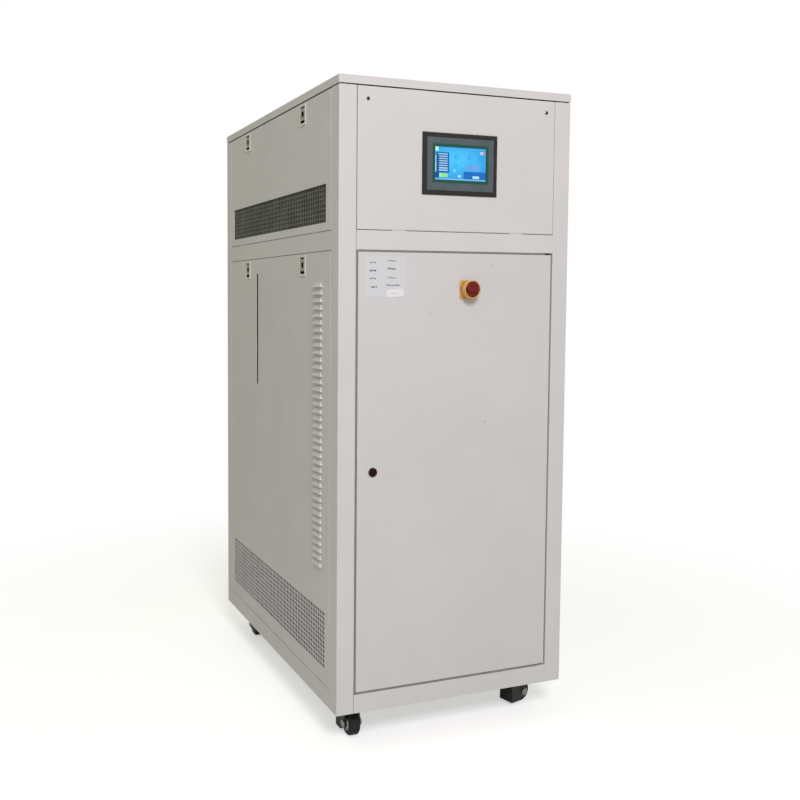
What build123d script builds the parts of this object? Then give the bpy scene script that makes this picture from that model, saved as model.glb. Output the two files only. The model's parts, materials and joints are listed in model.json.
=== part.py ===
from build123d import *
import math
import os

# Recirculating chiller in a sheet-steel cabinet on four swivel castors.
# Millimetres, +Z up, front face towards -Y, origin on the floor under the middle of the cabinet.

# Driving dimensions of the cabinet
width = 700.0
depth = 1000.0
castor_height = 100.0
post_width = 50.0
post_sheet = 2.0
post_corner_radius = 3.0
rail_height = 50.0
door_opening_height = 1175.0
upper_opening_height = 366.0
lid_height = 24.0
lid_seam = 3.0
lid_sheet = 2.0
lid_overhang = 1.0
lid_corner_radius = 4.0

# Sheet panels
panel_sheet = 1.5
panel_flange = 18.0
panel_gap = 1.5
panel_foot_length = 40.0
panel_foot_inset = 120.0
panel_bend_radius = 2.0

# Frame ring under the lid and the floor pan
top_rail_setback = 22.0
top_rail_drop = 30.0
floor_pan_sheet = 3.0
mounting_plate_setback = 190.0
mounting_plate_sheet = 2.0
mounting_plate_flange = 25.0

# Front door and its pivots
door_gap = 5.5
door_sheet = 1.5
door_flange = 20.0
pivot_from_edge = 32.0
pivot_behind_face = 5.5
pivot_radius = 3.0
pivot_bore_clearance = 0.08
pivot_collar_radius = 6.0
pivot_reach = 8.0
seat_gap = 0.3

# Operator panel with its lit screen
hmi_width = 226.5
hmi_height = 163.0
hmi_below_lid_top = 129.5
hmi_proud = 6.0
hmi_chamfer = 3.5
hmi_border = 12.0
hmi_face_recess = 1.0
hmi_face_sheet = 2.0
hmi_box_inset = 6.5
hmi_box_depth = 38.0
hmi_cut_clearance = 0.5
screen_width = 154.0
screen_height = 86.0
screen_lift = 1.5
screen_sheet = 1.0

# Main isolator on the door
isolator_from_left = 379.0
isolator_below_opening = 102.0
isolator_plate_size = 50.0
isolator_plate_corner = 5.0
isolator_plate_thickness = 4.0
isolator_ring_radius = 23.0
isolator_ring_height = 9.0
isolator_disc_radius = 20.5
isolator_disc_height = 9.0
isolator_grip_width = 15.0
isolator_grip_height = 15.0
isolator_shaft_radius = 5.0
isolator_shaft_clearance = 0.08
isolator_door_hole_radius = 7.5
isolator_disc_taper = 6.0
isolator_grip_inset = 1.0
isolator_box_size = 45.0
isolator_box_depth = 42.0
isolator_shaft_depth = 20.0

# Cam lock of the door
lock_from_left = 100.0
lock_below_opening = 582.0
lock_flange_radius = 12.0
lock_flange_height = 3.0
lock_body_radius = 9.5
lock_nut_radius = 14.0
lock_nut_height = 4.0
lock_cut_clearance = 0.3
lock_plug_radius = 6.0
lock_plug_clearance = 0.08
lock_slot_width = 1.6
lock_slot_depth = 1.2
lock_slot_inset = 1.5
cam_length = 36.0
cam_width = 16.0
cam_thickness = 3.0
cam_heel = 12.0
cam_gap = 5.0
keeper_height = 60.0
keeper_reach = 20.0
keeper_sheet = 2.0
keeper_gap = 5.0

# Slide catches of the side panels
catch_from_front = 255.0
catch_spacing = 500.0
catch_width = 48.0
catch_height = 58.0
catch_below_edge = 4.5
catch_bezel = 2.0
catch_box_width = 40.0
catch_box_height = 50.0
catch_box_depth = 12.0
catch_box_wall = 2.0
catch_cut_clearance = 0.3
catch_slider_height = 34.0
catch_slider_top_gap = 4.0
catch_slider_depth = 7.0
catch_slider_recess = 0.8
catch_running_gap = 0.3
catch_finger_width = 17.0
catch_finger_height = 14.0
catch_finger_depth = 5.0
catch_tongue_width = 24.0
catch_tongue_sheet = 3.0
catch_tongue_setback = 4.0
catch_tongue_reach = 5.0
catch_slot_clearance = 1.5

# Grilles of the side panels: rows of holes at one pitch, upright webs at every sixteenth hole
grille_pitch = 13.0
grille_web = 3.0
grille_columns = 64
grille_holes_per_slot = 16
grille_sheet = 1.5
upper_grille_rows = 8
lower_grille_rows = 12
upper_grille_above_panel_edge = 24.0
lower_grille_above_panel_edge = 47.0
upper_grille_overlap = 8.0

# Pressed louvres and the sight slot of the lower side panels
louvre_pitch = 20.0
louvre_length = 60.0
louvre_head_length = 38.0
louvre_height = 13.0
louvre_reach = 6.0
louvre_head_reach = 0.6
louvre_sheet = 1.2
louvre_from_front = 137.0
louvre_below_opening = 83.0
louvre_above_grille = 109.0
sight_slot_from_front = 660.0
sight_slot_width = 16.0
sight_slot_height = 354.0
sight_slot_below_opening = 50.0

# Rear pipe sockets and cable gland
port_spacing = 160.0
port_above_body = 210.0
port_bore_radius = 15.15
port_radius = 23.0
port_hex_radius = 29.0
port_hex_height = 14.0
port_nut_height = 8.0
port_cut_clearance = 0.5
gland_from_post = 85.0
gland_bore_radius = 10.0
gland_radius = 14.0
gland_hex_radius = 18.0
gland_hex_height = 8.0
gland_reach = 26.0

# Swivel castors
castor_from_side = 82.0
castor_from_front = 112.0
castor_plate_length = 92.0
castor_plate_width = 72.0
castor_plate_sheet = 4.0
castor_race_radius = 25.0
castor_race_height = 6.0
castor_swivel_gap = 0.3
castor_lower_race_radius = 22.0
castor_lower_race_height = 5.0
castor_crown_sheet = 3.0
castor_kingpin_radius = 5.0
castor_pin_clearance = 0.08
castor_trail = 24.0
wheel_radius = 32.5
wheel_width = 30.0
wheel_hub_width = 40.0
wheel_hub_radius = 11.0
wheel_shoulder = 4.0
wheel_side_gap = 0.3
yoke_sheet = 3.0
yoke_lead = 28.0
yoke_floor_gap = 9.0
yoke_boss_radius = 13.0
yoke_skirt_length = 30.0
axle_radius = 4.0
castor_angles = {"front_left": -90.0, "front_right": 15.0, "rear_left": 90.0, "rear_right": 60.0}

# Levels and planes worked out from the driving dimensions
half_width = width / 2
half_depth = depth / 2
body_bottom = castor_height
sill_level = body_bottom + rail_height
mid_rail_bottom = sill_level + door_opening_height
mid_rail_top = mid_rail_bottom + rail_height
post_top = mid_rail_top + upper_opening_height
lid_top = post_top + lid_height
inner_half_width = half_width - post_width
inner_half_depth = half_depth - post_width

os.makedirs("parts", exist_ok=True)


def save(solid, label):
    """Name a finished piece and write it to its own file."""
    solid.label = label
    export_step(solid, "parts/" + label + ".step")


def face_plane(side, level):
    """Plane on one outer face of the cabinet: x to the right as seen from outside, y up, z outwards."""
    outward = {"front": (0, -1, 0), "rear": (0, 1, 0), "left": (-1, 0, 0), "right": (1, 0, 0)}[side]
    rightward = {"front": (1, 0, 0), "rear": (-1, 0, 0), "left": (0, -1, 0), "right": (0, 1, 0)}[side]
    reach = half_depth if side in ("front", "rear") else half_width
    origin = (outward[0] * reach, outward[1] * reach, level)
    return Plane(origin=origin, x_dir=rightward, z_dir=outward)


def across(side, from_front):
    """Place along a side face, measured on its own plane, of a point a distance behind the front face."""
    behind_middle = from_front - half_depth
    return -behind_middle if side == "left" else behind_middle


def corner_post(x_sign, y_sign):
    """Square tube with rounded outer corners, from the cabinet's bottom to the lid's seam."""
    with BuildPart() as post:
        with BuildSketch(Plane.XY.offset(body_bottom)):
            with Locations((x_sign * (half_width - post_width / 2), y_sign * (half_depth - post_width / 2))):
                RectangleRounded(post_width, post_width, post_corner_radius)
                Rectangle(post_width - 2 * post_sheet, post_width - 2 * post_sheet, mode=Mode.SUBTRACT)
        extrude(amount=post_top - body_bottom)
    return post.part


def rail_ring(level, keeper_slots):
    """Four square tubes between the posts at one level, with slots below for the side catches."""
    inner = post_width - 2 * post_sheet
    with BuildPart() as ring:
        for y_sign in (-1, 1):
            with BuildSketch(Plane.YZ.offset(-inner_half_width)):
                with Locations((y_sign * (half_depth - post_width / 2), level + rail_height / 2)):
                    Rectangle(post_width, rail_height)
                    Rectangle(inner, rail_height - 2 * post_sheet, mode=Mode.SUBTRACT)
            extrude(amount=2 * inner_half_width)
        for x_sign in (-1, 1):
            with BuildSketch(Plane.XZ.offset(-inner_half_depth)):
                with Locations((x_sign * (half_width - post_width / 2), level + rail_height / 2)):
                    Rectangle(post_width, rail_height)
                    Rectangle(inner, rail_height - 2 * post_sheet, mode=Mode.SUBTRACT)
            extrude(amount=2 * inner_half_depth)
        if keeper_slots:
            slot_x = half_width - catch_tongue_setback - catch_tongue_sheet / 2
            slot_y = [catch_from_front - half_depth + n * catch_spacing for n in (0, 1)]
            with BuildSketch(Plane.XY.offset(level)):
                with Locations(*[(x_sign * slot_x, y) for x_sign in (-1, 1) for y in slot_y]):
                    Rectangle(
                        catch_tongue_sheet + 2 * catch_slot_clearance,
                        catch_tongue_width + 2 * catch_slot_clearance,
                    )
            extrude(amount=post_sheet, mode=Mode.SUBTRACT)
    return ring.part


def tray(plane, wide, high, sheet, flange, feet):
    """Folded sheet panel: a face with four return flanges, standing on two small feet."""
    with BuildPart() as panel:
        with BuildSketch(plane):
            with Locations((0, high / 2)):
                Rectangle(wide, high)
        extrude(amount=-flange)
        face_edges = panel.faces().sort_by(Axis(plane.origin, plane.z_dir))[-1].edges()
        fillet(face_edges, panel_bend_radius)
        with BuildSketch(plane.offset(-sheet)):
            with Locations((0, high / 2)):
                Rectangle(wide - 2 * sheet, high - 2 * sheet)
        extrude(amount=sheet - flange, mode=Mode.SUBTRACT)
        if feet:
            foot_x = wide / 2 - panel_foot_inset
            with BuildSketch(plane.offset(-sheet)):
                with Locations((-foot_x, -panel_gap / 2), (foot_x, -panel_gap / 2)):
                    Rectangle(panel_foot_length, panel_gap)
            extrude(amount=sheet - flange)
    return panel.part


# Corner posts
for post_name, x_side, y_side in (
    ("corner_post_front_left", -1, -1),
    ("corner_post_front_right", 1, -1),
    ("corner_post_rear_left", -1, 1),
    ("corner_post_rear_right", 1, 1),
):
    save(corner_post(x_side, y_side), post_name)

# Rails between the posts, at the base and between the upper and lower panels
save(rail_ring(body_bottom, keeper_slots=False), "base_frame")
save(rail_ring(mid_rail_bottom, keeper_slots=True), "mid_frame")

# Ring of set-back rails that carries the lid
top_rail_depth = post_width - top_rail_setback
top_rail_height = top_rail_drop + lid_height - lid_sheet
with BuildPart() as top_frame:
    for y_side in (-1, 1):
        with BuildSketch(Plane.YZ.offset(-inner_half_width)):
            with Locations((y_side * (inner_half_depth + top_rail_depth / 2), post_top - top_rail_drop)):
                Rectangle(top_rail_depth, top_rail_height, align=(Align.CENTER, Align.MIN))
            with Locations(
                (y_side * (inner_half_depth + top_rail_depth / 2), post_top - top_rail_drop + post_sheet)
            ):
                Rectangle(
                    top_rail_depth - 2 * post_sheet,
                    top_rail_height - 2 * post_sheet,
                    align=(Align.CENTER, Align.MIN),
                    mode=Mode.SUBTRACT,
                )
        extrude(amount=2 * inner_half_width)
    for x_side in (-1, 1):
        with BuildSketch(Plane.XZ.offset(-inner_half_depth)):
            with Locations((x_side * (inner_half_width + top_rail_depth / 2), post_top - top_rail_drop)):
                Rectangle(top_rail_depth, top_rail_height, align=(Align.CENTER, Align.MIN))
            with Locations(
                (x_side * (inner_half_width + top_rail_depth / 2), post_top - top_rail_drop + post_sheet)
            ):
                Rectangle(
                    top_rail_depth - 2 * post_sheet,
                    top_rail_height - 2 * post_sheet,
                    align=(Align.CENTER, Align.MIN),
                    mode=Mode.SUBTRACT,
                )
        extrude(amount=2 * inner_half_depth)
save(top_frame.part, "top_frame")

# Lid: a shallow pressed cover with a skirt that stops short of the panels
lid_width = width + 2 * lid_overhang
lid_depth = depth + 2 * lid_overhang
with BuildPart() as lid:
    with BuildSketch(Plane.XY.offset(post_top + lid_seam)):
        RectangleRounded(lid_width, lid_depth, lid_corner_radius)
    extrude(amount=lid_height - lid_seam)
    with BuildSketch(Plane.XY.offset(post_top + lid_seam)):
        RectangleRounded(
            lid_width - 2 * lid_sheet, lid_depth - 2 * lid_sheet, lid_corner_radius - lid_sheet
        )
    extrude(amount=lid_height - lid_seam - lid_sheet, mode=Mode.SUBTRACT)
save(lid.part, "lid")

# Floor pan between the base rails
with BuildPart() as floor_pan:
    with BuildSketch(Plane.XY.offset(body_bottom)):
        Rectangle(2 * inner_half_width, 2 * inner_half_depth)
    extrude(amount=floor_pan_sheet)
save(floor_pan.part, "floor_pan")

# Mounting plate behind the door, with folded edges, standing on the floor pan
mounting_plate_base = body_bottom + floor_pan_sheet
mounting_plate_height = mid_rail_top - mounting_plate_base
mounting_plate_face = Plane(
    origin=(0, -half_depth + mounting_plate_setback, mounting_plate_base), x_dir=(1, 0, 0), z_dir=(0, -1, 0)
)
save(
    tray(
        mounting_plate_face,
        2 * inner_half_width,
        mounting_plate_height,
        mounting_plate_sheet,
        mounting_plate_flange,
        feet=False,
    ),
    "mounting_plate",
)

# Upper front panel with the cut-out for the operator panel
upper_panel_height = upper_opening_height - panel_gap
front_panel_width = 2 * (inner_half_width - panel_gap)
hmi_middle = lid_top - hmi_below_lid_top - hmi_height / 2
hmi_box_width = hmi_width - 2 * hmi_box_inset
hmi_box_height = hmi_height - 2 * hmi_box_inset
upper_panel_face = face_plane("front", mid_rail_top + panel_gap)
hmi_plane = face_plane("front", hmi_middle)
with BuildPart() as upper_front_panel:
    add(tray(upper_panel_face, front_panel_width, upper_panel_height, panel_sheet, panel_flange, feet=True))
    with BuildSketch(hmi_plane):
        Rectangle(hmi_box_width + 2 * hmi_cut_clearance, hmi_box_height + 2 * hmi_cut_clearance)
    extrude(amount=-panel_sheet, mode=Mode.SUBTRACT)
save(upper_front_panel.part, "upper_front_panel")

# Operator panel: chamfered frame with its box behind, the face plate and the lit screen
hmi_face_width = hmi_width - 2 * hmi_border
hmi_face_height = hmi_height - 2 * hmi_border
hmi_floor = hmi_proud - hmi_face_recess - hmi_face_sheet
with BuildPart() as hmi_frame:
    with BuildSketch(hmi_plane):
        Rectangle(hmi_width, hmi_height)
    extrude(amount=hmi_proud)
    chamfer(hmi_frame.faces().sort_by(Axis.Y)[0].edges(), hmi_chamfer)
    with BuildSketch(hmi_plane.offset(hmi_floor)):
        Rectangle(hmi_face_width, hmi_face_height)
    extrude(amount=hmi_proud, mode=Mode.SUBTRACT)
    with BuildSketch(hmi_plane):
        Rectangle(hmi_box_width, hmi_box_height)
    extrude(amount=-hmi_box_depth)
save(hmi_frame.part, "hmi_frame")

with BuildPart() as hmi_face:
    with BuildSketch(hmi_plane.offset(hmi_floor)):
        Rectangle(hmi_face_width, hmi_face_height)
        with Locations((0, screen_lift)):
            Rectangle(screen_width, screen_height, mode=Mode.SUBTRACT)
    extrude(amount=hmi_face_sheet)
save(hmi_face.part, "hmi_face")

with BuildPart() as hmi_screen:
    with BuildSketch(hmi_plane.offset(hmi_floor)):
        with Locations((0, screen_lift)):
            Rectangle(screen_width, screen_height)
    extrude(amount=screen_sheet)
save(hmi_screen.part, "hmi_screen")

# Plain rear panels, upper and lower, with the pipe sockets through the lower one
lower_panel_height = door_opening_height - 2 * panel_gap
rear_lower_face = face_plane("rear", sill_level + panel_gap)
port_plane = face_plane("rear", body_bottom + port_above_body)
port_places = [(-port_spacing / 2, 0), (port_spacing / 2, 0)]
gland_place = (inner_half_width - gland_from_post, 0)
save(
    tray(
        face_plane("rear", mid_rail_top + panel_gap),
        front_panel_width,
        upper_panel_height,
        panel_sheet,
        panel_flange,
        feet=True,
    ),
    "rear_upper_panel",
)
with BuildPart() as rear_lower_panel:
    add(tray(rear_lower_face, front_panel_width, lower_panel_height, panel_sheet, panel_flange, feet=True))
    with BuildSketch(port_plane):
        with Locations(*port_places):
            Circle(port_radius + port_cut_clearance)
        with Locations(gland_place):
            Circle(gland_radius + port_cut_clearance)
    extrude(amount=-panel_sheet, mode=Mode.SUBTRACT)
save(rear_lower_panel.part, "rear_lower_panel")

# Pipe sockets and cable gland: a hexagon outside, a nut inside and a bore right through.
# They stand out behind as far as the isolator's grip does in front.
isolator_reach = (
    isolator_plate_thickness
    + isolator_ring_height
    + seat_gap
    + isolator_disc_height
    + isolator_grip_height
)
port_reach = isolator_reach
with BuildPart() as pipe_ports:
    with BuildSketch(port_plane):
        with Locations(*port_places):
            RegularPolygon(port_hex_radius, 6)
    extrude(amount=port_hex_height)
    with BuildSketch(port_plane):
        with Locations(*port_places):
            Circle(port_radius)
    extrude(amount=port_reach)
    with BuildSketch(port_plane):
        with Locations(*port_places):
            Circle(port_radius)
    extrude(amount=-panel_flange)
    with BuildSketch(port_plane.offset(-panel_sheet)):
        with Locations(*port_places):
            RegularPolygon(port_hex_radius, 6)
    extrude(amount=-port_nut_height)
    with BuildSketch(port_plane.offset(port_reach)):
        with Locations(*port_places):
            Circle(port_bore_radius)
    extrude(amount=-(port_reach + panel_flange), mode=Mode.SUBTRACT)
save(pipe_ports.part, "pipe_ports")

with BuildPart() as cable_gland:
    with BuildSketch(port_plane):
        with Locations(gland_place):
            RegularPolygon(gland_hex_radius, 6)
    extrude(amount=gland_hex_height)
    with BuildSketch(port_plane):
        with Locations(gland_place):
            Circle(gland_radius)
    extrude(amount=gland_reach)
    with BuildSketch(port_plane):
        with Locations(gland_place):
            Circle(gland_radius)
    extrude(amount=-panel_flange)
    with BuildSketch(port_plane.offset(-panel_sheet)):
        with Locations(gland_place):
            RegularPolygon(gland_hex_radius, 6)
    extrude(amount=-port_nut_height)
    with BuildSketch(port_plane.offset(gland_reach)):
        with Locations(gland_place):
            Circle(gland_bore_radius)
    extrude(amount=-(gland_reach + panel_flange), mode=Mode.SUBTRACT)
save(cable_gland.part, "cable_gland")

# Side panels, their grilles and their catches
side_panel_width = 2 * (inner_half_depth - panel_gap)
grille_length = grille_columns * grille_pitch - grille_web
slot_length = grille_holes_per_slot * grille_pitch - grille_web
slot_columns = grille_columns // grille_holes_per_slot
louvre_bottom = mid_rail_bottom - louvre_below_opening - louvre_height


def grille_height(rows):
    """Height of the punched field of a grille."""
    return rows * grille_pitch - grille_web


lower_grille_top = sill_level + lower_grille_above_panel_edge + grille_height(lower_grille_rows)


def catch_cutouts(side, panel_top):
    """Sketch planes and places of the two catches of one side panel."""
    return [
        (across(side, catch_from_front + n * catch_spacing), panel_top - catch_below_edge - catch_height / 2)
        for n in (0, 1)
    ]


def side_panel(side, low, high, window_low, rows):
    """Side tray with its grille window, the holes of its catches and the slots of their tongues."""
    plane = face_plane(side, 0)
    tongue_x = half_width - catch_tongue_setback - catch_tongue_sheet / 2
    x_sign = -1 if side == "left" else 1
    with BuildPart() as panel:
        add(tray(face_plane(side, low), side_panel_width, high - low, panel_sheet, panel_flange, feet=True))
        with BuildSketch(plane):
            with Locations((0, window_low + grille_height(rows) / 2)):
                Rectangle(grille_length, grille_height(rows))
            with Locations(*catch_cutouts(side, high)):
                Rectangle(
                    catch_box_width + 2 * catch_cut_clearance, catch_box_height + 2 * catch_cut_clearance
                )
        extrude(amount=-panel_sheet, mode=Mode.SUBTRACT)
        with BuildSketch(Plane.XY.offset(high - panel_sheet)):
            with Locations(
                *[
                    (x_sign * tongue_x, catch_from_front - half_depth + n * catch_spacing)
                    for n in (0, 1)
                ]
            ):
                Rectangle(
                    catch_tongue_sheet + 2 * catch_slot_clearance - panel_sheet / 2,
                    catch_tongue_width + 2 * catch_slot_clearance,
                )
        extrude(amount=panel_sheet, mode=Mode.SUBTRACT)
    return panel.part


def louvre_solids(side):
    """One pressed louvre hood and the hollow behind it, both with their lower edge at level 0."""
    face = face_plane(side, 0)
    foot = Plane(
        origin=face.from_local_coords((across(side, louvre_from_front), 0, 0)), x_dir=face.x_dir, z_dir=face.z_dir
    )
    head_start = (louvre_length - louvre_head_length) / 2
    on_foot = (Align.CENTER, Align.MIN, Align.MIN)
    with BuildPart(foot) as hood:
        Wedge(
            louvre_length,
            louvre_height,
            louvre_reach,
            head_start,
            0,
            louvre_length - head_start,
            louvre_head_reach,
            align=on_foot,
        )
    hollow_length = louvre_length - 2 * louvre_sheet
    with BuildPart(foot.offset(-panel_sheet)) as hollow:
        Wedge(
            hollow_length,
            louvre_height - 2 * louvre_sheet,
            louvre_reach - louvre_sheet + panel_sheet,
            head_start,
            0,
            hollow_length - head_start,
            louvre_head_reach + panel_sheet,
            align=on_foot,
        )
    return hood.part, hollow.part


def louvred(panel_solid, side):
    """Press the louvre column into a lower side panel and cut its sight slot."""
    slot_x = across(side, sight_slot_from_front)
    slot_middle = mid_rail_bottom - sight_slot_below_opening - sight_slot_height / 2
    column_height = mid_rail_bottom - louvre_below_opening - lower_grille_top - louvre_above_grille
    louvre_count = int((column_height - louvre_height) / louvre_pitch) + 1
    hood, hollow = louvre_solids(side)
    feet = [(0, 0, louvre_bottom - n * louvre_pitch) for n in range(louvre_count)]
    with BuildPart() as panel:
        add(panel_solid)
        with BuildSketch(face_plane(side, 0)):
            with Locations((slot_x, slot_middle)):
                Rectangle(sight_slot_width, sight_slot_height)
        extrude(amount=-panel_sheet, mode=Mode.SUBTRACT)
        with Locations(*feet):
            add(hood)
        with Locations(*feet):
            add(hollow, mode=Mode.SUBTRACT)
    return panel.part


def grille(plane, low, rows, border, sheet):
    """Punched sheet: rows of slots between continuous webs, with an uncut border."""
    high = grille_height(rows)
    with BuildPart() as mesh:
        with BuildSketch(plane):
            with Locations((0, low + high / 2)):
                Rectangle(grille_length + 2 * border, high + 2 * border)
                with GridLocations(slot_length + grille_web, grille_pitch, slot_columns, rows):
                    Rectangle(slot_length, grille_pitch - grille_web, mode=Mode.SUBTRACT)
        extrude(amount=-sheet)
    return mesh.part


def catch_housings(side, panel_tops):
    """Bezels and open-backed boxes of the four catches of one side."""
    plane = face_plane(side, 0)
    places = [place for top in panel_tops for place in catch_cutouts(side, top)]
    with BuildPart() as housings:
        with BuildSketch(plane):
            with Locations(*places):
                Rectangle(catch_width, catch_height)
        extrude(amount=catch_bezel)
        with BuildSketch(plane):
            with Locations(*places):
                Rectangle(catch_box_width, catch_box_height)
        extrude(amount=-catch_box_depth)
        with BuildSketch(plane.offset(catch_bezel)):
            with Locations(*places):
                Rectangle(catch_box_width - 2 * catch_box_wall, catch_box_height - 2 * catch_box_wall)
        extrude(amount=-(catch_bezel + catch_box_depth - catch_box_wall), mode=Mode.SUBTRACT)
        with BuildSketch(plane.offset(-catch_tongue_setback + catch_slot_clearance)):
            with Locations(*[(x, z + catch_box_height / 2 - catch_box_wall / 2) for x, z in places]):
                Rectangle(catch_tongue_width + 2 * catch_slot_clearance, catch_box_wall)
        extrude(amount=-(catch_tongue_sheet + 2 * catch_slot_clearance), mode=Mode.SUBTRACT)
    return housings.part


def catch_slider(side, from_front, panel_top):
    """Finger slide of one catch with the tongue that holds the panel."""
    plane = face_plane(side, 0)
    x = across(side, from_front)
    window_top = panel_top - catch_below_edge - (catch_height - catch_box_height) / 2 - catch_box_wall
    slider_top = window_top - catch_slider_top_gap
    slider_width = catch_box_width - 2 * catch_box_wall - 2 * catch_running_gap
    slider_face = catch_bezel - catch_slider_recess
    with BuildPart() as slider:
        with BuildSketch(plane.offset(slider_face)):
            with Locations((x, slider_top - catch_slider_height / 2)):
                Rectangle(slider_width, catch_slider_height)
        extrude(amount=-(slider_face + catch_slider_depth))
        with BuildSketch(plane.offset(slider_face)):
            with Locations((x, slider_top - catch_slider_height / 2)):
                Rectangle(catch_finger_width, catch_finger_height)
        extrude(amount=-catch_finger_depth, mode=Mode.SUBTRACT)
        tongue_top = panel_top + panel_gap + catch_tongue_reach
        with BuildSketch(plane.offset(-catch_tongue_setback)):
            with Locations((x, (tongue_top + slider_top) / 2)):
                Rectangle(catch_tongue_width, tongue_top - slider_top)
        extrude(amount=-catch_tongue_sheet)
    return slider.part


lower_panel_low = sill_level + panel_gap
lower_panel_high = mid_rail_bottom - panel_gap
upper_panel_low = mid_rail_top + panel_gap
upper_window_low = mid_rail_top + upper_grille_above_panel_edge
lower_window_low = sill_level + lower_grille_above_panel_edge

for side_name in ("left", "right"):
    side_plane = face_plane(side_name, 0)
    save(
        side_panel(side_name, upper_panel_low, post_top, upper_window_low, upper_grille_rows),
        side_name + "_upper_panel",
    )
    lower_panel = side_panel(
        side_name, lower_panel_low, lower_panel_high, lower_window_low, lower_grille_rows
    )
    save(louvred(lower_panel, side_name), side_name + "_lower_panel")
    save(
        grille(
            side_plane.offset(-panel_sheet),
            upper_window_low,
            upper_grille_rows,
            upper_grille_overlap,
            grille_sheet,
        ),
        side_name + "_upper_grille",
    )
    save(
        grille(side_plane, lower_window_low, lower_grille_rows, 0, panel_sheet), side_name + "_lower_grille"
    )
    save(catch_housings(side_name, (post_top, lower_panel_high)), side_name + "_catch_housings")
    for level_name, top in (("upper", post_top), ("lower", lower_panel_high)):
        for place_name, n in (("front", 0), ("rear", 1)):
            slider_solid = catch_slider(side_name, catch_from_front + n * catch_spacing, top)
            save(slider_solid, side_name + "_" + level_name + "_" + place_name + "_catch")

# Front door: a tray that turns on two pivot pins near its right-hand edge
door_width = 2 * (inner_half_width - door_gap)
door_height = door_opening_height - 2 * door_gap
door_bottom = sill_level + door_gap
door_top = door_bottom + door_height
pivot_x = door_width / 2 - pivot_from_edge
pivot_y = -half_depth + pivot_behind_face
door_face = face_plane("front", door_bottom)
isolator_x = isolator_from_left - half_width
isolator_plane = face_plane("front", mid_rail_bottom - isolator_below_opening)
lock_x = lock_from_left - half_width
lock_plane = face_plane("front", mid_rail_bottom - lock_below_opening)
with BuildPart() as door:
    add(tray(door_face, door_width, door_height, door_sheet, door_flange, feet=False))
    with BuildSketch(isolator_plane):
        with Locations((isolator_x, 0)):
            Circle(isolator_door_hole_radius)
    extrude(amount=-door_sheet, mode=Mode.SUBTRACT)
    with BuildSketch(lock_plane):
        with Locations((lock_x, 0)):
            Circle(lock_body_radius + lock_cut_clearance)
    extrude(amount=-door_sheet, mode=Mode.SUBTRACT)
    with BuildSketch(Plane.XY.offset(door_bottom)):
        with Locations((pivot_x, pivot_y)):
            Circle(pivot_radius + pivot_bore_clearance)
    extrude(amount=door_height, mode=Mode.SUBTRACT)
save(door.part, "door")

# Pivot pins: the lower one has a collar that carries the door
with BuildPart() as door_pivots:
    with BuildSketch(Plane.XY.offset(sill_level)):
        with Locations((pivot_x, pivot_y)):
            Circle(pivot_collar_radius)
    extrude(amount=door_gap - seat_gap)
    with BuildSketch(Plane.XY.offset(sill_level)):
        with Locations((pivot_x, pivot_y)):
            Circle(pivot_radius)
    extrude(amount=door_gap + pivot_reach)
    with BuildSketch(Plane.XY.offset(mid_rail_bottom)):
        with Locations((pivot_x, pivot_y)):
            Circle(pivot_radius)
    extrude(amount=-(door_gap + pivot_reach))
save(door_pivots.part, "door_pivots")

# Keeper on the left post that the cam of the lock turns behind
with BuildPart() as lock_keeper:
    with BuildSketch(lock_plane.offset(-(door_flange + keeper_gap))):
        with Locations((-inner_half_width, 0)):
            Rectangle(keeper_reach, keeper_height, align=(Align.MIN, Align.CENTER))
    extrude(amount=-keeper_sheet)
save(lock_keeper.part, "lock_keeper")

# Main isolator: yellow plate with its ring, the box behind the door and the red turning handle
with BuildPart() as isolator_plate:
    with BuildSketch(isolator_plane):
        with Locations((isolator_x, 0)):
            RectangleRounded(isolator_plate_size, isolator_plate_size, isolator_plate_corner)
    extrude(amount=isolator_plate_thickness)
    with BuildSketch(isolator_plane.offset(isolator_plate_thickness)):
        with Locations((isolator_x, 0)):
            Circle(isolator_ring_radius)
    extrude(amount=isolator_ring_height)
    with BuildSketch(isolator_plane):
        with Locations((isolator_x, 0)):
            Circle(isolator_shaft_radius + isolator_shaft_clearance)
    extrude(amount=isolator_plate_thickness + isolator_ring_height, mode=Mode.SUBTRACT)
save(isolator_plate.part, "isolator_plate")

with BuildPart() as isolator_box:
    with BuildSketch(isolator_plane.offset(-door_sheet)):
        with Locations((isolator_x, 0)):
            RectangleRounded(isolator_box_size, isolator_box_size, isolator_plate_corner)
    extrude(amount=-isolator_box_depth)
    with BuildSketch(isolator_plane.offset(-door_sheet)):
        with Locations((isolator_x, 0)):
            Circle(isolator_shaft_radius + isolator_shaft_clearance)
    extrude(amount=-(isolator_shaft_depth + seat_gap), mode=Mode.SUBTRACT)
save(isolator_box.part, "isolator_box")

isolator_disc_base = isolator_plate_thickness + isolator_ring_height + seat_gap
with BuildPart() as isolator_handle:
    with BuildSketch(isolator_plane.offset(isolator_disc_base)):
        with Locations((isolator_x, 0)):
            Circle(isolator_disc_radius)
    extrude(amount=isolator_disc_height, taper=isolator_disc_taper)
    with BuildSketch(isolator_plane.offset(isolator_disc_base)):
        with Locations((isolator_x, 0)):
            SlotOverall(2 * (isolator_disc_radius - isolator_grip_inset), isolator_grip_width)
    extrude(amount=isolator_disc_height + isolator_grip_height)
    with BuildSketch(isolator_plane.offset(isolator_disc_base)):
        with Locations((isolator_x, 0)):
            Circle(isolator_shaft_radius)
    extrude(amount=-(isolator_disc_base + door_sheet + isolator_shaft_depth))
save(isolator_handle.part, "isolator_handle")

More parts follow.
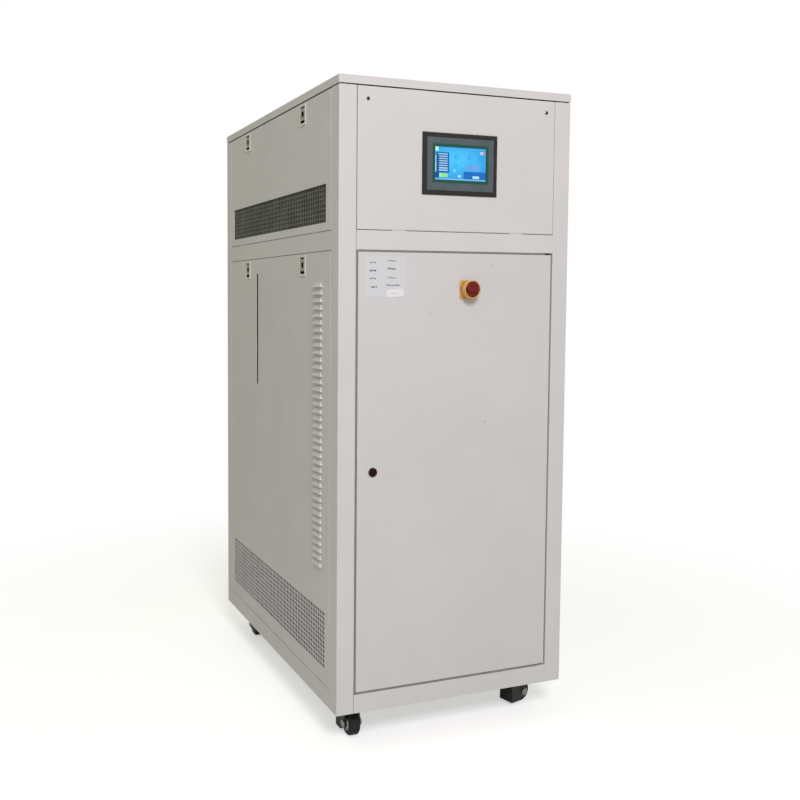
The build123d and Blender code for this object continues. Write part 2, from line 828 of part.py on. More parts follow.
# Cam lock: the housing stays in the door, the slotted plug turns with its cam
plug_length = door_flange + keeper_gap + keeper_sheet + cam_gap
with BuildPart() as lock_housing:
    with BuildSketch(lock_plane):
        with Locations((lock_x, 0)):
            Circle(lock_flange_radius)
    extrude(amount=lock_flange_height)
    with BuildSketch(lock_plane):
        with Locations((lock_x, 0)):
            Circle(lock_body_radius)
    extrude(amount=-(door_flange - cam_gap))
    with BuildSketch(lock_plane.offset(-door_sheet)):
        with Locations((lock_x, 0)):
            RegularPolygon(lock_nut_radius, 6)
    extrude(amount=-lock_nut_height)
    with BuildSketch(lock_plane.offset(lock_flange_height)):
        with Locations((lock_x, 0)):
            Circle(lock_plug_radius + lock_plug_clearance)
    extrude(amount=-(lock_flange_height + door_flange), mode=Mode.SUBTRACT)
save(lock_housing.part, "lock_housing")

with BuildPart() as lock_plug:
    with BuildSketch(lock_plane.offset(lock_flange_height)):
        with Locations((lock_x, 0)):
            Circle(lock_plug_radius)
    extrude(amount=-(lock_flange_height + plug_length))
    with BuildSketch(lock_plane.offset(lock_flange_height)):
        with Locations((lock_x, 0)):
            Rectangle(lock_slot_width, 2 * (lock_plug_radius - lock_slot_inset))
    extrude(amount=-lock_slot_depth, mode=Mode.SUBTRACT)
    with BuildSketch(lock_plane.offset(-plug_length)):
        with Locations((lock_x, -cam_heel)):
            Rectangle(cam_width, cam_heel + cam_length, align=(Align.CENTER, Align.MIN))
    extrude(amount=-cam_thickness)
save(lock_plug.part, "lock_plug")


# Swivel castors
swivel_level = castor_height - castor_plate_sheet - castor_race_height
lower_race_top = swivel_level - castor_swivel_gap
crown_top = lower_race_top - castor_lower_race_height
crown_bottom = crown_top - castor_crown_sheet
yoke_inner = wheel_hub_width + 2 * wheel_side_gap
yoke_outer = yoke_inner + 2 * yoke_sheet
castor_places = {
    "front_left": (-half_width + castor_from_side, -half_depth + castor_from_front),
    "front_right": (half_width - castor_from_side, -half_depth + castor_from_front),
    "rear_left": (-half_width + castor_from_side, half_depth - castor_from_front),
    "rear_right": (half_width - castor_from_side, half_depth - castor_from_front),
}


def castor_plane(corner):
    """Floor plane under a castor's swivel axis, with x along its trail."""
    angle = math.radians(castor_angles[corner])
    place_x, place_y = castor_places[corner]
    return Plane(origin=(place_x, place_y, 0), x_dir=(math.cos(angle), math.sin(angle), 0), z_dir=(0, 0, 1))


def side_plane_at(base, reach):
    """Upright plane along a castor's trail, a distance to its side: x along the trail, y up."""
    return Plane(origin=base.from_local_coords((0, reach, 0)), x_dir=base.x_dir, z_dir=-base.y_dir)


def castor_yoke(corner):
    """Pressed yoke: crown, two cheeks, closed leading plate, lower race, kingpin and axle."""
    base = castor_plane(corner)
    with BuildPart() as yoke:
        for reach in (-yoke_inner / 2, yoke_outer / 2):
            with BuildSketch(side_plane_at(base, reach)):
                with BuildLine():
                    Polyline(
                        (-yoke_lead, crown_top),
                        (-yoke_lead, yoke_floor_gap),
                        (yoke_skirt_length - yoke_lead, yoke_floor_gap),
                        (castor_trail, wheel_radius - yoke_boss_radius),
                        (castor_trail + yoke_boss_radius, wheel_radius),
                        (castor_lower_race_radius, crown_top),
                        close=True,
                    )
                make_face()
            extrude(amount=yoke_sheet)
        with BuildSketch(base.offset(crown_bottom)):
            with Locations((-yoke_lead, 0)):
                Rectangle(
                    yoke_lead + castor_lower_race_radius, yoke_inner, align=(Align.MIN, Align.CENTER)
                )
        extrude(amount=castor_crown_sheet)
        with BuildSketch(base.offset(yoke_floor_gap)):
            with Locations((-yoke_lead, 0)):
                Rectangle(yoke_sheet, yoke_inner, align=(Align.MIN, Align.CENTER))
        extrude(amount=crown_top - yoke_floor_gap)
        with BuildSketch(base.offset(crown_top)):
            Circle(castor_lower_race_radius)
        extrude(amount=castor_lower_race_height)
        with BuildSketch(base.offset(lower_race_top)):
            Circle(castor_kingpin_radius)
        extrude(amount=castor_swivel_gap + castor_race_height)
        with BuildSketch(side_plane_at(base, yoke_outer / 2)):
            with Locations((castor_trail, wheel_radius)):
                Circle(axle_radius)
        extrude(amount=yoke_outer)
    return yoke.part


def castor_wheel(corner):
    """Solid wheel with bevelled shoulders and a hub that runs between the yoke's cheeks."""
    base = castor_plane(corner)
    bore = axle_radius + castor_pin_clearance
    axis_place = base.from_local_coords((castor_trail, 0, wheel_radius))
    profile = Plane(origin=axis_place, x_dir=base.y_dir, z_dir=-base.x_dir)
    with BuildPart() as wheel:
        with BuildSketch(profile):
            with Locations((0, bore)):
                Rectangle(wheel_hub_width, wheel_hub_radius - bore, align=(Align.CENTER, Align.MIN))
                Rectangle(wheel_width, wheel_radius - bore, align=(Align.CENTER, Align.MIN))
            tread = vertices().sort_by(Axis.Y)[-2:]
            chamfer(tread, wheel_shoulder)
        revolve(axis=Axis(axis_place, base.y_dir))
    return wheel.part


with BuildPart() as castor_plates:
    for corner_place in castor_places.values():
        with BuildSketch(Plane.XY.offset(castor_height - castor_plate_sheet)):
            with Locations(corner_place):
                RectangleRounded(castor_plate_width, castor_plate_length, post_corner_radius)
        extrude(amount=castor_plate_sheet)
        with BuildSketch(Plane.XY.offset(swivel_level)):
            with Locations(corner_place):
                Circle(castor_race_radius)
        extrude(amount=castor_race_height)
        with BuildSketch(Plane.XY.offset(swivel_level)):
            with Locations(corner_place):
                Circle(castor_kingpin_radius + castor_pin_clearance)
        extrude(amount=castor_race_height + seat_gap, mode=Mode.SUBTRACT)
save(castor_plates.part, "castor_plates")

for corner_name in castor_places:
    save(castor_yoke(corner_name), corner_name + "_yoke")
    save(castor_wheel(corner_name), corner_name + "_wheel")
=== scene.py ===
import json
import math

import bpy
import numpy as np
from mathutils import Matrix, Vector


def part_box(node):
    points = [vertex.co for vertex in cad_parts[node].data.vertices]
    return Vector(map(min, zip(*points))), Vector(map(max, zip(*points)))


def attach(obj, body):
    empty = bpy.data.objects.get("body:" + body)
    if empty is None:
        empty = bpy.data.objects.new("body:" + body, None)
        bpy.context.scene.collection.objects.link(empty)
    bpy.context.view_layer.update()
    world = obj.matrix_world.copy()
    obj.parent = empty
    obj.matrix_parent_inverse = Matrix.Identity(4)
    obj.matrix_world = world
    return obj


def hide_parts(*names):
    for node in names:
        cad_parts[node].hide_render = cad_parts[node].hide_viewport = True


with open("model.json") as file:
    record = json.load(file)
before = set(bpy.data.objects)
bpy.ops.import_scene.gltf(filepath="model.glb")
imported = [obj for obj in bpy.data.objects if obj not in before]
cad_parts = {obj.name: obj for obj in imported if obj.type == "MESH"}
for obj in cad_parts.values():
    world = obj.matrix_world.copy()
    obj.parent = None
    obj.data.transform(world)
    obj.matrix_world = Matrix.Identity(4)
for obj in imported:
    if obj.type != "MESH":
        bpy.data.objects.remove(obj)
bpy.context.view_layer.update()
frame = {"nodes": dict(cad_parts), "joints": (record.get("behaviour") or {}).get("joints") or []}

# %% [markdown]
# # Dressing a recirculating chiller
#
# The frame that is loaded above holds every load-bearing and moving piece of the chiller at its real size: the
# sheet-steel cabinet, the front door, the slide catches and the castors. This lesson gives each of those pieces its
# finish, and adds the pieces that are too fine for the frame: the punched grilles, the picture on the operator's
# screen, the label, and the screws, bolts and caps. Everything is in metres, with +Z up and the door facing -Y.

# %% The frame's nodes, and millimetres in metres
nodes = frame["nodes"]
MM = 0.001

# %% [markdown]
# ## Helpers for meshes
#
# Blender builds a mesh fastest from whole arrays. The helpers below work out an array of points and a list of faces
# that any later cell can place, and the first one turns such a pair into an object that moves with a body of the
# frame. A modelling tool could draw the same shapes by hand, but a formula keeps them tied to the frame.

# %% Turn arrays into a piece that rides on a body
def add_piece(name, points, faces, body, slot, material, smooth=False):
    """Make one object from points (n by 3, metres) and faces, and let it ride on a body of the frame."""
    mesh = bpy.data.meshes.new(name)
    mesh.from_pydata(np.asarray(points, float).tolist(), [], [list(map(int, face)) for face in faces])
    mesh.validate()
    mesh.polygons.foreach_set("use_smooth", np.full(len(mesh.polygons), smooth))
    mesh.materials.append(material)
    piece = bpy.data.objects.new(name, mesh)
    bpy.context.scene.collection.objects.link(piece)
    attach(piece, body)
    return piece


# %% Turn a profile about an axis
def ring_faces(levels, turns):
    """Faces over rings of points: four-sided ones between two rings, and a fan to one more point at each end.

    Point n of ring m has the number m * turns + n. The two end points come after the last ring.
    """
    row, column = np.meshgrid(np.arange(levels - 1), np.arange(turns), indexing="ij")
    start, following = row * turns + column, row * turns + (column + 1) % turns
    walls = np.stack([start, following, following + turns, start + turns], -1).reshape(-1, 4)
    step, base, end = np.arange(turns), (levels - 1) * turns, levels * turns
    near = np.stack([np.full(turns, end), (step + 1) % turns, step], -1)
    far = np.stack([np.full(turns, end + 1), base + step, base + (step + 1) % turns], -1)
    return walls.tolist() + near.tolist() + far.tolist()


def lathe(profile, centre, axis, turns):
    """Surface of revolution, closed at both ends.

    A point of the profile is (radius, height). At turn angle a it lies at centre + height * axis
    + radius * (cos(a) * side + sin(a) * other), where side and other are at right angles to the axis.
    Six turns make a hexagon, many turns make a round.
    """
    profile = np.asarray(profile, float)
    along = np.asarray(axis, float) / np.linalg.norm(axis)
    helper = np.array([0.0, 0.0, 1.0]) if abs(along[2]) < 0.9 else np.array([1.0, 0.0, 0.0])
    side = np.cross(helper, along)
    side /= np.linalg.norm(side)
    other = np.cross(along, side)
    angle = np.arange(turns) * 2 * math.pi / turns
    ring = np.cos(angle)[:, None] * side + np.sin(angle)[:, None] * other
    body = profile[:, None, :1] * ring[None] + profile[:, None, 1:] * along
    ends = np.stack([profile[0, 1] * along, profile[-1, 1] * along])
    points = np.concatenate([body.reshape(-1, 3), ends]) + np.asarray(centre, float)
    return points, ring_faces(len(profile), turns)


# %% Build a slab from a grid of cells, some of them holes
def cell_slab(u_edges, v_edges, solid, place, u_axis, v_axis, thickness):
    """Closed sheet over a grid of cells.

    Corner (i, j) of the grid lies at place + u_edges[i] * u_axis + v_edges[j] * v_axis. Each solid cell gets a
    face on the front and one on the back, a thickness behind it, and a wall wherever it meets a hole or the edge.
    The front faces come first, one for each solid cell, in the order of u and then v.
    """
    u_axis, v_axis = np.asarray(u_axis, float), np.asarray(v_axis, float)
    out_axis = np.cross(u_axis, v_axis)
    grid = u_edges[:, None, None] * u_axis + v_edges[None, :, None] * v_axis + np.asarray(place, float)
    points = np.concatenate([grid.reshape(-1, 3), (grid - thickness * out_axis).reshape(-1, 3)])
    across, back = len(v_edges), len(u_edges) * len(v_edges)
    i, j = np.nonzero(solid)
    corner = i * across + j
    front = np.stack([corner, corner + across, corner + across + 1, corner + 1], -1)
    faces = [front, front[:, ::-1] + back]
    padded = np.pad(solid, 1)
    sides = ((-1, 0, 1, 0), (1, 0, across, across + 1), (0, -1, 0, across), (0, 1, across + 1, 1))
    for di, dj, first, second in sides:
        open_side = ~padded[i + 1 + di, j + 1 + dj]
        a, b = corner[open_side] + first, corner[open_side] + second
        faces.append(np.stack([b, a, a + back, b + back], -1))
    return points, np.concatenate(faces).tolist()


# %% Join several shapes into one piece
def merge(parts):
    """Join several (points, faces) pairs into one. A shape's point numbers rise by the points that came before."""
    points, faces, start = [], [], 0
    for some_points, some_faces in parts:
        points.append(some_points)
        faces.extend([[i + start for i in face] for face in some_faces])
        start += len(some_points)
    return np.concatenate(points), faces


# %% [markdown]
# ## Two helpers for materials
#
# A hex value such as #D6D3CC is a colour in sRGB, as paint charts give it. Blender's shaders work in linear light, so
# one function turns one into the other. A second function adds any node with its settings and links. Writing those
# out each time would work too, but so each finish below reads as a short list.

# %% Colours and nodes
def linear(hex_colour):
    """Turn an sRGB hex value into linear red, green, blue and full alpha.

    A share up to 0.04045 is divided by 12.92. A larger one is (share + 0.055) / 1.055, to the power of 2.4.
    """
    srgb = np.array([int(hex_colour[n : n + 2], 16) for n in (1, 3, 5)]) / 255
    light = np.where(srgb <= 0.04045, srgb / 12.92, ((srgb + 0.055) / 1.055) ** 2.4)
    return (*light.tolist(), 1.0)


def add_node(tree, kind, settings, inputs):
    """Add one shader node, set its properties by name, and link or fill its inputs by name or number."""
    node = tree.nodes.new("ShaderNode" + kind)
    for name, value in settings.items():
        setattr(node, name, value)
    for socket, source in inputs.items():
        if isinstance(source, bpy.types.NodeSocket):
            tree.links.new(source, node.inputs[socket])
        else:
            node.inputs[socket].default_value = source
    return node


MIX_A, MIX_B, MIX_COLOUR = 6, 7, 2
COLOUR_MIX = {"data_type": "RGBA"}

# %% [markdown]
# ## A finish made of a colour that drifts and a skin that ripples
#
# Hardly any made surface is one flat colour. Powder coat has a ripple called orange peel, moulded plastic has a
# spark-eroded grain, and pressed steel shows the rolling of the sheet. All of them are a base colour that drifts a
# little over a hand's width, a roughness that drifts with it, and a fine bump. This function makes that common
# ground from real sizes, and each finish then adds what is its own.

# %% The common ground of every finish
DRIFT_LOW, DRIFT_HIGH = 0.35, 0.65
GLOSS_SPREAD = 0.15


def new_finish(name, colour, drift_colour, roughness, drift_mm, grain_mm, grain_depth_mm, metallic=0.0):
    """Make a material whose colour and roughness drift over drift_mm and whose bump repeats every grain_mm.

    Noise between DRIFT_LOW and DRIFT_HIGH blends the two colours, and the roughness runs with it from its value less
    the share GLOSS_SPREAD to its value plus that share. Returns the material, its node tree, its shader, the place on
    the object and the drifting colour.
    """
    material = bpy.data.materials.new(name)
    material.use_nodes = True
    tree = material.node_tree
    shader = tree.nodes["Principled BSDF"]
    shader.inputs["Metallic"].default_value = metallic
    place = add_node(tree, "TexCoord", {}, {}).outputs["Object"]
    drift = add_node(
        tree, "TexNoise", {}, {"Vector": place, "Scale": 1 / (drift_mm * MM), "Detail": 3.0, "Roughness": 0.55}
    )
    blend = add_node(
        tree, "MapRange", {}, {"Value": drift.outputs[0], "From Min": DRIFT_LOW, "From Max": DRIFT_HIGH}
    )
    tint = add_node(
        tree, "Mix", COLOUR_MIX, {0: blend.outputs[0], MIX_A: linear(colour), MIX_B: linear(drift_colour)}
    )
    spread = roughness * GLOSS_SPREAD
    gloss = add_node(
        tree, "MapRange", {}, {"Value": drift.outputs[0], "To Min": roughness - spread, "To Max": roughness + spread}
    )
    grain = add_node(
        tree, "TexNoise", {}, {"Vector": place, "Scale": 1 / (grain_mm * MM), "Detail": 2.0, "Roughness": 0.5}
    )
    bump = add_node(tree, "Bump", {}, {"Height": grain.outputs[0], "Distance": grain_depth_mm * MM})
    tree.links.new(tint.outputs[MIX_COLOUR], shader.inputs["Base Color"])
    tree.links.new(gloss.outputs[0], shader.inputs["Roughness"])
    tree.links.new(bump.outputs[0], shader.inputs["Normal"])
    return material, tree, shader, place, tint.outputs[MIX_COLOUR]


# %% [markdown]
# ## Powder-coated sheet steel
#
# The cabinet is grey-white polyester powder, baked on. It has a satin gloss and an orange peel a few millimetres
# across. The real ripple is about two millimetres, too fine for a render from three metres, so it is drawn at four.
# Paint is a dielectric, so metallic stays 0 and the base colour does the work. An image of the ripple would do as
# well, but noise has no edge at which it starts again.

# %% Cabinet paint
# The outer coat: a pale grey, hardly warm, with a soft sheen that shows no sharp reflection.
cabinet_paint = new_finish("powder_coated_sheet_steel", "#D6D3D4", "#D2D0D1", 0.46, 180, 4.0, 0.05)[0]
# The inner coat: the same powder, a little darker and duller.
frame_paint = new_finish("powder_coated_inner_steel", "#B9B6B0", "#B2AFA9", 0.55, 120, 4.0, 0.05)[0]
print("paints:", cabinet_paint.name, "and", frame_paint.name)

# %% [markdown]
# ### Scuffs on the door
#
# Three grey rub marks sit on the door, each a few millimetres across. They could be a painted image, but a distance
# from a point, made ragged by noise, gives the same mark with no image at all.

# %% Door paint with its rub marks
SCUFFS_MM = ((-85, 1158, 5.0), (89, 861, 7.0), (104, 1287, 5.0))
SCUFF_COLOUR, SCUFF_STRENGTH, SCUFF_GRAIN_MM = "#8E8B8A", 0.9, 3.0
# The cabinet's coat with grey smudges, which tell the eye that the door gets touched.
door_paint, door_tree, door_shader, door_place, marked = new_finish(
    "powder_coated_door_steel", "#D3D0D3", "#CFCDD0", 0.46, 200, 4.0, 0.05
)
ragged = add_node(
    door_tree, "TexNoise", {}, {"Vector": door_place, "Scale": 1 / (SCUFF_GRAIN_MM * MM), "Detail": 4.0}
)
door_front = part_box("door")[0].y
for across_mm, up_mm, radius_mm in SCUFFS_MM:
    reach = add_node(
        door_tree,
        "VectorMath",
        {"operation": "DISTANCE"},
        {0: door_place, 1: (across_mm * MM, door_front, up_mm * MM)},
    )
    mask = add_node(
        door_tree,
        "MapRange",
        {},
        {
            "Value": reach.outputs["Value"],
            "From Min": radius_mm * MM,
            "From Max": 0.0,
            "To Max": SCUFF_STRENGTH,
        },
    )
    broken = add_node(door_tree, "Math", {"operation": "MULTIPLY"}, {0: mask.outputs[0], 1: ragged.outputs[0]})
    rubbed = add_node(
        door_tree, "Mix", COLOUR_MIX, {0: broken.outputs[0], MIX_A: marked, MIX_B: linear(SCUFF_COLOUR)}
    )
    marked = rubbed.outputs[MIX_COLOUR]
door_tree.links.new(marked, door_shader.inputs["Base Color"])
print("door paint has", len(SCUFFS_MM), "rub marks")

# %% [markdown]
# ## Plastics, plated steel and brass
#
# Moulded ABS and nylon are dielectrics with a fine spark grain. Zinc plate and brass are metals, so their base colour
# is the colour of their reflection, and roughness sets how far that reflection spreads. Images of real samples would
# be finer still, but from three metres a few numbers for each are enough.

# %% Metals
# Punched steel with a thin coat: an olive grey that stays far darker than the panel around it.
mesh_steel = new_finish("dark_coated_punched_steel", "#73746C", "#5F605A", 0.5, 60, 2.0, 0.03)[0]
# Hot-dip zinc: a cool grey whose patches shine unevenly.
galvanised = new_finish("galvanised_sheet", "#B4B6B8", "#A3A6A9", 0.42, 25, 3.0, 0.02, metallic=1.0)[0]
# Plated zinc: brighter and tighter in its shine than the dipped sheet.
zinc_plate = new_finish("zinc_plated_steel", "#B9BBBD", "#A7A9AC", 0.34, 30, 2.0, 0.02, metallic=1.0)[0]
# Burnished steel: nearly black, with a wine-red cast where light catches it.
dark_plate = new_finish("burnished_dark_steel", "#4A2C30", "#35242A", 0.25, 8, 1.5, 0.02, metallic=1.0)[0]
# Black-coated pressings: a green-black with a clear sheen on the bends.
castor_steel = new_finish("black_pressed_steel", "#303735", "#262C2B", 0.3, 40, 3.0, 0.04)[0]
# Turned brass: a warm yellow reflection, a little spread by the tool marks.
brass = new_finish("machined_brass", "#C9A35C", "#BB9450", 0.28, 12, 1.0, 0.01, metallic=1.0)[0]
print("materials with the metals:", len(bpy.data.materials))

# %% Plastics
# Cast nylon: a dead black tread that takes nearly all the light.
wheel_nylon = new_finish("black_nylon", "#111212", "#171818", 0.5, 20, 1.5, 0.05)[0]
# Moulded ABS of the screen's frame: a brown black, softer than the film that it holds.
bezel_plastic = new_finish("moulded_abs_brown_black", "#282226", "#211C1F", 0.5, 30, 1.5, 0.05)[0]
# Moulded black ABS: even and dull, so that small parts stay quiet.
black_plastic = new_finish("moulded_abs_black", "#1E1E1F", "#242425", 0.5, 30, 1.5, 0.05)[0]
# Polyamide in warning yellow: a full colour with a satin edge along every rim.
isolator_yellow = new_finish("moulded_polyamide_yellow", "#DDB062", "#CFA052", 0.38, 15, 1.5, 0.04)[0]
# Polyamide in signal red: deeper and glossier than the yellow, from the hands that turn it.
isolator_red = new_finish("moulded_polyamide_red", "#7A1420", "#68101A", 0.3, 10, 1.5, 0.04)[0]
print("materials with the plastics:", len(bpy.data.materials))

# %% [markdown]
# ### A catch housing with painted shade inside
#
# The bezel of each slide catch is pale, and the box behind it is unlit. Two materials could share the housing, but it
# is one moulding, so its one finish has the shade painted in: it turns dark where the surface lies behind the face
# of the side panel.

# %% Catch housing
def paint_shade_inside(finish, painted_shade_colour, dark_until, pale_from):
    """Paint shade into a finish up to one distance from the plane x = 0, and leave it as it is beyond the other."""
    material, tree, shader, place, tint = finish
    split = add_node(tree, "SeparateXYZ", {}, {0: place})
    away = add_node(tree, "Math", {"operation": "ABSOLUTE"}, {0: split.outputs[0]})
    outside = add_node(
        tree, "MapRange", {}, {"Value": away.outputs[0], "From Min": dark_until, "From Max": pale_from}
    )
    # Painted shade: the colour turns to the shade colour behind the face, and stays the finish's own tint beyond it.
    shaded_tint = add_node(tree, "Mix", COLOUR_MIX, {0: outside.outputs[0], MIX_A: linear(painted_shade_colour), MIX_B: tint})
    tree.links.new(shaded_tint.outputs[MIX_COLOUR], shader.inputs["Base Color"])
    return material


panel_face_x = -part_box("corner_post_front_left")[0].x
# Pale ABS with painted shade inside: a light frame around a pocket that is painted dark, as the unlit box would be.
housing_with_painted_shade = paint_shade_inside(
    new_finish("moulded_abs_housing_painted_shade", "#E4E2DC", "#D8D6CF", 0.45, 15, 1.5, 0.04),
    "#3A3936",
    panel_face_x - 0.2 * MM,
    panel_face_x + 0.6 * MM,
)
print("housing turns dark", round(panel_face_x / MM, 1), "mm from the middle")

# %% [markdown]
# ### A finger slide with painted shade in its recess
#
# The slide in each bezel is grey, with a square pocket for a fingertip. The frame has the pocket at its real depth,
# but it is so small that the even light of the world still fills it. Making it deeper would weaken the slide, so the
# same function paints shade on whatever lies behind its face.

# %% Finger slide
slide_face_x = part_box("right_upper_front_catch")[1].x
# Grey ABS whose pocket is painted black as shade: the dark square is where the fingertip goes.
slide_with_painted_shade = paint_shade_inside(
    new_finish("moulded_abs_grey_painted_shade", "#A9A79E", "#9C9A90", 0.45, 15, 1.5, 0.04),
    "#0A0A0A",
    slide_face_x - 1.0 * MM,
    slide_face_x - 0.4 * MM,
)
print("slide's face lies", round(slide_face_x / MM, 1), "mm from the middle")

# %% [markdown]
# ### The overlay around the screen
#
# The operator panel's face is a slate polyester film, with a dark green band printed round the screen's window.
# The band could be a thin piece of its own, but print has no thickness. A box-shaped distance, the larger of the two
# distances past the screen's edges, draws it in the finish.

# %% Operator panel's overlay
BAND_MM, BAND_EDGE_MM = 7.0, 2.0
# Printed polyester: a flat slate blue-grey with a dark green rim that sets off the lit window.
overlay, overlay_tree, overlay_shader, overlay_place, overlay_tint = new_finish(
    "slate_polyester_overlay", "#545F66", "#4C585E", 0.45, 30, 1.0, 0.02
)
screen_low, screen_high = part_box("hmi_screen")
screen_middle = (screen_low + screen_high) / 2
half_screen = (screen_high - screen_low) / 2
offset = add_node(
    overlay_tree, "VectorMath", {"operation": "SUBTRACT"}, {0: overlay_place, 1: tuple(screen_middle)}
)
size = add_node(overlay_tree, "VectorMath", {"operation": "ABSOLUTE"}, {0: offset.outputs[0]})
axes = add_node(overlay_tree, "SeparateXYZ", {}, {0: size.outputs[0]})
past_side = add_node(overlay_tree, "Math", {"operation": "SUBTRACT"}, {0: axes.outputs[0], 1: half_screen.x})
past_top = add_node(overlay_tree, "Math", {"operation": "SUBTRACT"}, {0: axes.outputs[2], 1: half_screen.z})
past = add_node(overlay_tree, "Math", {"operation": "MAXIMUM"}, {0: past_side.outputs[0], 1: past_top.outputs[0]})
in_band = add_node(
    overlay_tree,
    "MapRange",
    {},
    {"Value": past.outputs[0], "From Min": BAND_MM * MM, "From Max": (BAND_MM + BAND_EDGE_MM) * MM},
)
banded = add_node(
    overlay_tree, "Mix", COLOUR_MIX, {0: in_band.outputs[0], MIX_A: linear("#0F4E42"), MIX_B: overlay_tint}
)
overlay_tree.links.new(banded.outputs[MIX_COLOUR], overlay_shader.inputs["Base Color"])
print("screen's window in mm:", [round(2 * half / MM) for half in (half_screen.x, half_screen.z)])

# %% [markdown]
# ## Giving the frame's pieces their finishes
#
# Each node of the frame already has the right shape, so it only gets a material. A table from finish to the words in
# a node's name keeps the two together, and the cabinet paint is what is left.

# %% Finish of each node
FINISH_OF_WORD = (
    ("upper_grille", mesh_steel),
    ("catch_housings", housing_with_painted_shade),
    ("catch", slide_with_painted_shade),
    ("hmi_frame", bezel_plastic),
    ("hmi_face", overlay),
    ("isolator_plate", isolator_yellow),
    ("isolator_handle", isolator_red),
    ("isolator_box", black_plastic),
    ("cable_gland", black_plastic),
    ("pipe_ports", brass),
    ("mounting_plate", galvanised),
    ("lock", dark_plate),
    ("pivots", zinc_plate),
    ("yoke", castor_steel),
    ("castor_plates", castor_steel),
    ("wheel", wheel_nylon),
    ("floor_pan", frame_paint),
    ("top_frame", frame_paint),
    ("door", door_paint),
)
for node_name, node_object in nodes.items():
    finish = next((f for word, f in FINISH_OF_WORD if word in node_name), cabinet_paint)
    node_object.data.materials.clear()
    node_object.data.materials.append(finish)
print("finished nodes:", len(nodes))

# %% [markdown]
# ## Punched grilles
#
# Each side panel has two fields of square holes, ten millimetres wide with webs of three. The lower field is punched
# in the panel itself, and the upper one is a separate dark sheet behind a window. A boolean cut of five hundred holes
# is slow and untidy, so the sheet is built cell by cell: every second cell of the grid is a hole.

# %% Square-hole sheets
HOLE_MM = 10.0
WEB_MM = 3.0
PITCH_MM = HOLE_MM + WEB_MM


def punched_edges(count, border_mm):
    """Cell edges along one side: border, then holes and webs in turn, then border, centred on zero."""
    holes = np.arange(count) * PITCH_MM
    field = np.sort(np.concatenate([holes, holes + HOLE_MM])) - (count * PITCH_MM - WEB_MM) / 2
    if border_mm:
        field = np.concatenate([[field[0] - border_mm], field, [field[-1] + border_mm]])
    return field * MM


def punched_sheet(name, node, columns, rows, border_mm, material, slot):
    """Replace a grille of the frame by a sheet with every hole punched."""
    low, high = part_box(node)
    sign = -1 if low.x < 0 else 1
    face_x = low.x if sign < 0 else high.x
    u_edges, v_edges = punched_edges(columns, border_mm), punched_edges(rows, border_mm)
    first = 1 if border_mm else 0
    solid = np.ones((len(u_edges) - 1, len(v_edges) - 1), bool)
    solid[first : first + 2 * columns : 2, first : first + 2 * rows : 2] = False
    place = (face_x, (low.y + high.y) / 2, (low.z + high.z) / 2)
    points, faces = cell_slab(u_edges, v_edges, solid, place, (0, sign, 0), (0, 0, 1), high.x - low.x)
    piece = add_piece(name, points, faces, "cabinet", slot, material)
    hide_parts(node)
    print(name, "has", int((~solid).sum()), "holes and", len(faces), "faces")


COLUMNS, UPPER_ROWS, LOWER_ROWS, UPPER_BORDER_MM = 64, 8, 12, 8.0
for side in ("left", "right"):
    upper, lower = side + "_upper_", side + "_lower_"
    punched_sheet(
        upper + "mesh", upper + "grille", COLUMNS, UPPER_ROWS, UPPER_BORDER_MM, mesh_steel, "dark_grille_steel"
    )
    punched_sheet(lower + "mesh", lower + "grille", COLUMNS, LOWER_ROWS, 0.0, cabinet_paint, "cabinet_paint")


# %% [markdown]
# ## Dark mats behind the grilles, as painted shade
#
# Behind each grille lies a near-black mat of coarse foam, painted shade for the unlit inside of the cabinet, and it
# is why no light shows through the holes. A flat black plane would do for one view, but a mat with a bumpy face also
# holds up seen from close by.

# %% Mats behind the grilles
MAT_BEHIND_MM, MAT_THICK_MM, MAT_BORDER_MM = 4.0, 6.0, 5.0
MAT_CELLS = (8, 2)
# Open-pored foam: an almost black brown with no shine, in which the eye finds no surface: painted shade for the
# inside of the cabinet behind the holes.
painted_shade_foam = new_finish("reticulated_foam_painted_shade", "#30312D", "#242521", 0.95, 40, 3.0, 1.2)[0]


def mat(grille, sign, border):
    """Slab behind a grille, larger than it by a border on every side. The sign is that of the grille's x."""
    low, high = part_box(grille)
    ends = sorted((sign * (low.y - border), sign * (high.y + border)))
    inner_x = high.x if sign < 0 else low.x
    return cell_slab(
        np.linspace(*ends, MAT_CELLS[0] + 1),
        np.linspace(low.z - border, high.z + border, MAT_CELLS[1] + 1),
        np.ones(MAT_CELLS, bool),
        (inner_x - sign * MAT_BEHIND_MM * MM, 0, 0),
        (0, sign, 0),
        (0, 0, 1),
        MAT_THICK_MM * MM,
    )


# Each mat's near-black is painted shade for the inside of the cabinet behind its grille.
for side, sign in (("left", -1), ("right", 1)):
    mats = merge([mat(side + "_upper_grille", sign, 0.0), mat(side + "_lower_grille", sign, MAT_BORDER_MM * MM)])
    add_piece(side + "_painted_shade_mats", *mats, "cabinet", "black_plastic", painted_shade_foam)
print("filter mats lie", MAT_BEHIND_MM, "mm behind the grilles")

# %% [markdown]
# ## The lit screen
#
# The screen shows a plain control page: a list, a green button, a few dials and a status strip. An image texture
# would be the usual way, but shapes worked out from numbers stay sharp and can be changed one by one. So the picture
# is a slab of one-millimetre cells, and each cell's colour comes from a short list of rectangles and rings, written
# as shares of the screen's width and height.

